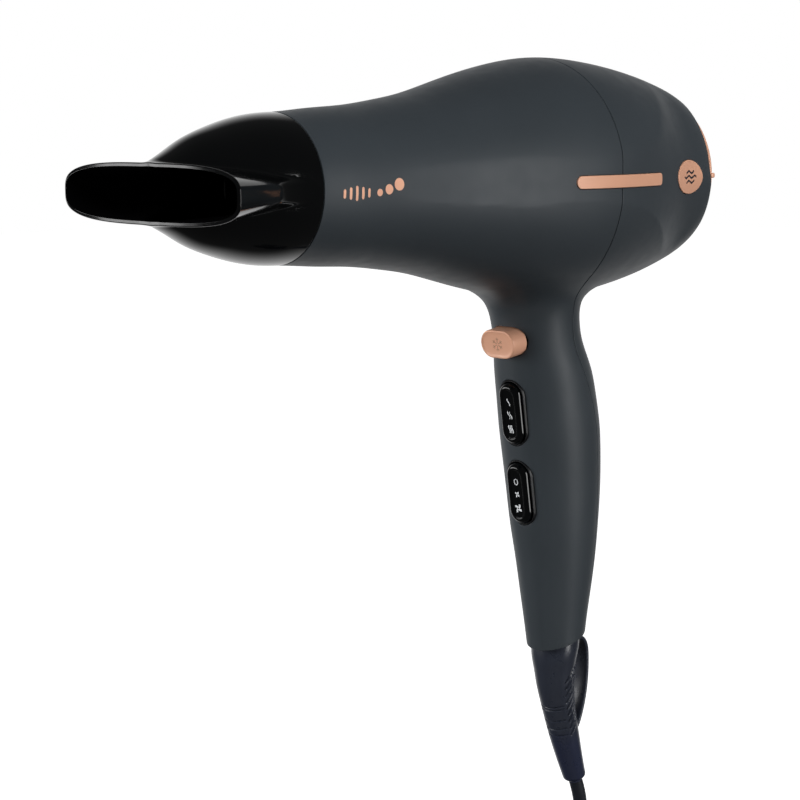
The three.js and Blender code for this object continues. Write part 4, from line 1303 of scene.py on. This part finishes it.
class DRYER_OT_strain_relief(bpy.types.Operator):
    """Makes the slotted strain relief and its hanging loop"""
    bl_idname = "dryer.strain_relief"
    bl_label = "Strain relief"

    def execute(self, context):
        depth = context.scene.dryer_lead.slot_depth / MM
        sleeve = smooth_curve(SLEEVE)
        lean = math.atan(HANDLE_END["slope"])
        heights = np.concatenate([np.arange(-81, -102, -0.8), np.arange(-102, -128, -0.22),
                                  np.arange(-128, -146.4, -0.7), [-146.4, -146.9, -147.3, -147.6]])
        rings = []
        for z in heights:
            centre, radius = sleeve(z)
            radius -= 1.3 * (1 - math.sqrt(max(0.0, 1 - ((-146.3 - min(z, -146.3)) / 1.31) ** 2)))
            rings.append(self.ring(centre, z, lean, lambda angle: radius - depth * slot_share(z, angle)))
        for centre, z in SLEEVE_NOSE:
            rings.append(self.ring(centre, z, lean, lambda angle: 0.98 * CORD_RADIUS))
        sleeve_piece = outward(new_object("lead_sleeve", *stacked(rings), FINISH["sleeve"], angle=50))
        hand_over(sleeve_piece, "root", "black_rubber", "strain_relief")

        line = refined([(x, 0, z) for x, z in LOOP_LINE], 6)
        outline = rounded_outline(1.7, 8.0, 0.8, 24)
        loop = outward(new_object("hook_loop", *swept(line, outline), FINISH["sleeve"], angle=50))
        hand_over(loop, "root", "black_rubber", "hanging_loop")
        return {"FINISHED"}

    def ring(self, centre, z, lean, radius_at):
        """A ring of the sleeve, square to its leaning axis."""
        ring = []
        for angle in np.linspace(0, 2 * math.pi, 144, endpoint=False):
            across = radius_at(angle) * math.cos(angle)
            ring.append((centre + across * math.cos(lean), radius_at(angle) * math.sin(angle),
                         z - across * math.sin(lean)))
        return ring


def slot_share(z, angle):
    """How deep the sleeve is cut at a place: fine lines in front, slanted slots at the sides."""
    turn = abs(math.degrees(math.remainder(angle, 2 * math.pi)))
    line = min(abs(z - row) for row in FRONT_SLOTS)
    front = 0.4 * float(1 - ease(line, 0.1, 0.4)) * float(1 - ease(turn, 56, 64))
    middle = (turn - 104) / 34
    slant = z - 3.4 * middle
    width = 0.95 * math.sqrt(max(0.0, 1 - middle * middle))
    side = 0.0
    if width > 0:
        nearest = min(abs(slant - row) for row in SIDE_SLOTS)
        side = float(1 - ease(nearest, 0.45 * width, width + 0.05))
    return max(front, side)


class DRYER_OT_intake(bpy.types.Operator):
    """Makes the rear ring with its tabs and the slatted cover"""
    bl_idname = "dryer.intake"
    bl_label = "Intake"

    def execute(self, context):
        settings = context.scene.dryer_intake
        rear = HEAD_REAR_X
        ring = turned([(rear - 0.3, 31.5), (rear - 0.3, 32.8), (rear - 0.5, 33.0), (rear - 1.2, 32.95),
                       (rear - 1.7, 32.7), (rear - 2.0, 32.3), (rear - 2.1, 31.9), (rear - 2.0, 31.6),
                       (rear - 1.8, 31.5)], 128)
        parts = [ring]
        for sign in (1, -1):
            outline = rounded_outline(2.2, 2.0, 0.6, 24)
            rings = [[(rear - 1.5 + u, sign * y, AXIS_Z + v) for u, v in outline]
                     for y in (31.8, 32.4, 33.0, 33.4)]
            rings.append([(rear - 1.5 + 0.85 * u, sign * 33.6, AXIS_Z + 0.85 * v) for u, v in outline])
            parts.append(stacked(rings))
        trim = outward(new_object("rear_ring", *merged(parts), FINISH["rose_gold"], angle=50))
        hand_over(trim, "intake", "rose_gold", "intake_ring")
        cover = radial_slats("rear_grille", settings, FINISH["satin_black"])
        hand_over(cover, "intake", "satin_black", "intake_cover")
        return {"FINISHED"}


def group_input(tree, name, kind, default):
    socket = tree.interface.new_socket(name=name, in_out="INPUT", socket_type=kind)
    socket.default_value = default
    return socket


def radial_slats(name, settings, material):
    """Slats set round a hub between two rings, laid out by a node tree."""
    rear = HEAD_REAR_X
    tree = bpy.data.node_groups.new(f"{name}_layout", "GeometryNodeTree")
    tree.interface.new_socket(name="Geometry", in_out="INPUT", socket_type="NodeSocketGeometry")
    count = group_input(tree, "Slats", "NodeSocketInt", 24)
    width = group_input(tree, "Slat width", "NodeSocketFloat", 0.001)
    tree.interface.new_socket(name="Geometry", in_out="OUTPUT", socket_type="NodeSocketGeometry")
    nodes, links = tree.nodes, tree.links

    def node(kind, **values):
        made = nodes.new(kind)
        for key, value in values.items():
            made.inputs[key].default_value = value
        return made

    source, end = nodes.new("NodeGroupInput"), nodes.new("NodeGroupOutput")
    inner, outer = 8.2 * MM, 29.4 * MM
    size = node("ShaderNodeCombineXYZ", X=1.1 * MM, Y=outer - inner)
    links.new(source.outputs["Slat width"], size.inputs["Z"])
    bar = node("GeometryNodeMeshCube")
    links.new(size.outputs["Vector"], bar.inputs["Size"])
    shift = node("GeometryNodeTransform", Translation=(0, (inner + outer) / 2, 0))
    links.new(bar.outputs["Mesh"], shift.inputs["Geometry"])
    line = node("GeometryNodeMeshLine", Offset=(0, 0, 0))
    links.new(source.outputs["Slats"], line.inputs["Count"])
    index = nodes.new("GeometryNodeInputIndex")
    share = node("ShaderNodeMath")
    share.operation = "DIVIDE"
    links.new(index.outputs["Index"], share.inputs[0])
    links.new(source.outputs["Slats"], share.inputs[1])
    turn = node("ShaderNodeMath")
    turn.operation = "MULTIPLY"
    turn.inputs[1].default_value = 2 * math.pi
    links.new(share.outputs[0], turn.inputs[0])
    angle = nodes.new("ShaderNodeCombineXYZ")
    links.new(turn.outputs[0], angle.inputs["X"])
    spread = nodes.new("GeometryNodeInstanceOnPoints")
    links.new(line.outputs["Mesh"], spread.inputs["Points"])
    links.new(shift.outputs["Geometry"], spread.inputs["Instance"])
    links.new(angle.outputs["Vector"], spread.inputs["Rotation"])
    place = node("GeometryNodeTransform", Translation=((rear - 1.1) * MM, 0, AXIS_Z * MM))
    links.new(spread.outputs["Instances"], place.inputs["Geometry"])
    joined = nodes.new("GeometryNodeJoinGeometry")
    links.new(source.outputs["Geometry"], joined.inputs["Geometry"])
    links.new(place.outputs["Geometry"], joined.inputs["Geometry"])
    real = nodes.new("GeometryNodeRealizeInstances")
    links.new(joined.outputs["Geometry"], real.inputs["Geometry"])
    finish = nodes.new("GeometryNodeSetMaterial")
    finish.inputs["Material"].default_value = material
    links.new(real.outputs["Geometry"], finish.inputs["Geometry"])
    links.new(finish.outputs["Geometry"], end.inputs["Geometry"])

    rings = [
        turned([(rear - 1.7, 29.2), (rear - 0.4, 29.2), (rear - 0.4, 31.2), (rear - 1.5, 31.2),
                (rear - 1.9, 30.7), (rear - 1.9, 29.4)], 128),
        turned([(rear - 1.6, 18.4), (rear - 0.7, 18.4), (rear - 0.7, 19.6), (rear - 1.6, 19.6),
                (rear - 1.75, 19.0)], 96),
        turned([(rear - 0.5, 0.02), (rear - 0.5, 8.6), (rear - 1.5, 8.6), (rear - 1.8, 8.1),
                (rear - 1.9, 7.0), (rear - 1.75, 3.0), (rear - 1.7, 0.02)], 96),
    ]
    raw = outward(new_object(f"{name}_rings", *merged(rings), material, angle=45))
    modifier = raw.modifiers.new("layout", "NODES")
    modifier.node_group = tree
    modifier[count.identifier] = settings.slats
    modifier[width.identifier] = settings.slat_width
    evaluated = raw.evaluated_get(bpy.context.evaluated_depsgraph_get())
    mesh = bpy.data.meshes.new_from_object(evaluated)
    raw.modifiers.remove(modifier)
    bpy.data.objects.remove(raw)
    mesh.name = name
    piece = bpy.data.objects.new(name, mesh)
    bpy.context.scene.collection.objects.link(piece)
    return piece


NODE_FINISH = {
    "steel": ["casing_screw_1", "casing_screw_2", "cold_shot_spring", "heat_rocker_pin", "speed_rocker_pin",
              "motor_bracket", "front_bearing", "rear_bearing", "ion_needle", "clamp_screw_1",
              "clamp_screw_2", "plug_pin_1", "plug_pin_2"],
    "turned_steel": ["motor_shaft"],
    "wire": ["heating_coil"],
    "laminated": ["motor_stator"],
    "winding": ["field_coil_upper", "field_coil_lower", "motor_armature"],
    "segments": ["motor_commutator"],
    "carbon": ["brush_left", "brush_right"],
    "nylon": ["motor_housing", "thermal_cutout", "cord_clamp"],
    "mica": ["mica_tube", "mica_board_level", "mica_board_upright"],
    "board": ["control_board"],
    "satin_black": ["fan_impeller", "ion_generator", "cold_shot_switch", "heat_switch_block",
                    "speed_switch_block", "outlet_grille"],
    "filter": ["filter_mesh"],
    "lead": ["cord_tail", "lead_wire_right"],
    "wire_red": ["lead_wire_left"],
}


class DRYER_OT_inner_finishes(bpy.types.Operator):
    """Gives the pieces that are kept from the frame their finishes"""
    bl_idname = "dryer.inner_finishes"
    bl_label = "Inner finishes"

    def execute(self, context):
        for finish, names in NODE_FINISH.items():
            for name in names:
                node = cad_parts[name]
                node.data.materials.clear()
                node.data.materials.append(FINISH[finish])
        return {"FINISHED"}


class DRYER_OT_finishes(bpy.types.Operator):
    """Makes the materials of every piece"""
    bl_idname = "dryer.finishes"
    bl_label = "Finishes"

    def execute(self, context):
        scene = context.scene
        graphite, rose = tuple(scene.dryer_casing.colour), tuple(scene.dryer_trim.colour)
        black, rubber = tuple(scene.dryer_nozzle.colour), tuple(scene.dryer_lead.colour)
        FINISH["graphite"] = moulded("graphite_satin", graphite, 0.48, 0.03, 0.05, 0.3, 0.10, 0.02,
                                     Specular_IOR_Level=0.35)
        FINISH["gloss_black"] = moulded("gloss_black", black, 0.09, 0.02, 0.1, 2.0, 0.02, 0.02)
        # Matt black that barely reflects, for the nozzle's inner faces: painted shade inside the slot.
        FINISH["painted_shade_black"] = moulded("painted_shade_black", hex_colour("060607"), 0.7, 0.05, 0.1, 0.4, 0.2, 0.02,
                                       Specular_IOR_Level=0.05)
        FINISH["satin_black"] = moulded("satin_black", hex_colour("17181a"), 0.42, 0.05, 0.1, 0.3, 0.2,
                                        0.03)
        FINISH["rose_gold"] = moulded("rose_gold_satin", rose, 0.36, 0.04, 0.05, 0.25, 0.12, 0.02,
                                      Metallic=0.05)
        FINISH["rose_gold_deep"] = moulded("rose_gold_mark", scaled(rose, 0.6), 0.4, 0.04, 0.05,
                                           Metallic=0.4)
        FINISH["rose_gold_print"] = moulded("rose_gold_print", rose, 0.42, 0.05, 0.06, Metallic=0.2)
        FINISH["dark_print"] = moulded("dark_print", hex_colour("3a3033"), 0.5)
        FINISH["white_print"] = moulded("white_print", hex_colour("e9ecee"), 0.5, 0.04, 0.03)
        FINISH["lead"] = moulded("lead_rubber", rubber, 0.5, 0.06, 0.1, 0.4, 0.2, 0.03)
        FINISH["sleeve"] = sleeve_finish(rubber)
        FINISH["nylon"] = moulded("nylon", hex_colour("d9d7cf"), 0.55, 0.06, 0.05, 0.5, 0.2, 0.03)
        FINISH["carbon"] = moulded("carbon", hex_colour("26272a"), 0.6, 0.08, 0.2, 0.2, 0.4, 0.05)
        FINISH["wire_red"] = moulded("wire_brown", hex_colour("6b3a24"), 0.45)
        FINISH["steel"] = metal("steel", hex_colour("b9bcc0"), 0.3)
        FINISH["turned_steel"] = metal("turned_steel", hex_colour("c4c6c9"), 0.22, (20, 1, 1), 200)
        FINISH["wire"] = metal("heater_wire", hex_colour("8f8a84"), 0.38)
        FINISH["winding"] = banded("copper_winding", hex_colour("c47a44"), hex_colour("5a2a14"), "X", 0.8,
                                   0.3, 1.0)
        FINISH["segments"] = banded("copper_segments", hex_colour("c98a5a"), hex_colour("4a2a1c"), "Y", 2.0,
                                    0.3, 1.0)
        FINISH["laminated"] = banded("laminations", hex_colour("a2a5a9"), hex_colour("54575b"), "X", 1.0,
                                     0.4, 1.0)
        FINISH["filter"] = banded("filter_weave", hex_colour("8c8f93"), hex_colour("1c1d1f"), "Z", 1.2, 0.4,
                                  0.6, 0.4)
        FINISH["mica"] = layered("mica", hex_colour("b79a74"), 0.5)
        FINISH["board"] = circuit("board", hex_colour("1f5a35"), hex_colour("7da06a"))
        return {"FINISHED"}


def sleeve_finish(colour):
    """Soft rubber that turns bluer towards the lead."""
    n = Nodes("sleeve_rubber")
    split = n.add("ShaderNodeSeparateXYZ")
    n.link(n.place, split.inputs["Vector"])
    height = n.ranged(split.outputs["Z"], 0, 1, -0.124, -0.131)
    n.link(n.ramp(height, [(0.0, scaled(colour, 2.2)), (1.0, hex_colour("2c3146"))]),
           n.shader.inputs["Base Color"])
    n.link(n.ranged(n.noise(260, 3), 0.26, 0.34), n.shader.inputs["Roughness"])
    n.bump(n.noise(2600, 2), 0.15, 0.03 * MM)
    return n.material


class DRYER_PT_panel(bpy.types.Panel):
    """Lists the settings and steps that build the dryer"""
    bl_label = "Hair dryer"
    bl_idname = "DRYER_PT_panel"
    bl_space_type = "VIEW_3D"
    bl_region_type = "UI"
    bl_category = "Hair dryer"

    def draw(self, context):
        for key, group in SETTINGS.items():
            box = self.layout.box()
            for name in group.__annotations__:
                box.prop(getattr(context.scene, key), name)
        for operator in OPERATORS:
            self.layout.operator(operator.bl_idname)


OPERATORS = (
    DRYER_OT_finishes, DRYER_OT_stage, DRYER_OT_lead, DRYER_OT_casing, DRYER_OT_trim, DRYER_OT_nozzle,
    DRYER_OT_controls, DRYER_OT_strain_relief, DRYER_OT_intake, DRYER_OT_inner_finishes,
)


def register():
    for cls in (*SETTINGS.values(), *OPERATORS, DRYER_PT_panel):
        bpy.utils.register_class(cls)
    for key, group in SETTINGS.items():
        setattr(bpy.types.Scene, key, bpy.props.PointerProperty(type=group))


def unregister():
    for key in SETTINGS:
        delattr(bpy.types.Scene, key)
    for cls in reversed((*SETTINGS.values(), *OPERATORS, DRYER_PT_panel)):
        bpy.utils.unregister_class(cls)


def main():
    register()
    bpy.ops.dryer.finishes()
    bpy.ops.dryer.stage()
    bpy.ops.dryer.lead()
    bpy.ops.dryer.casing()
    bpy.ops.dryer.trim()
    bpy.ops.dryer.nozzle()
    bpy.ops.dryer.controls()
    bpy.ops.dryer.strain_relief()
    bpy.ops.dryer.intake()
    bpy.ops.dryer.inner_finishes()
    bpy.context.view_layer.update()


if __name__ == "__main__":
    main()
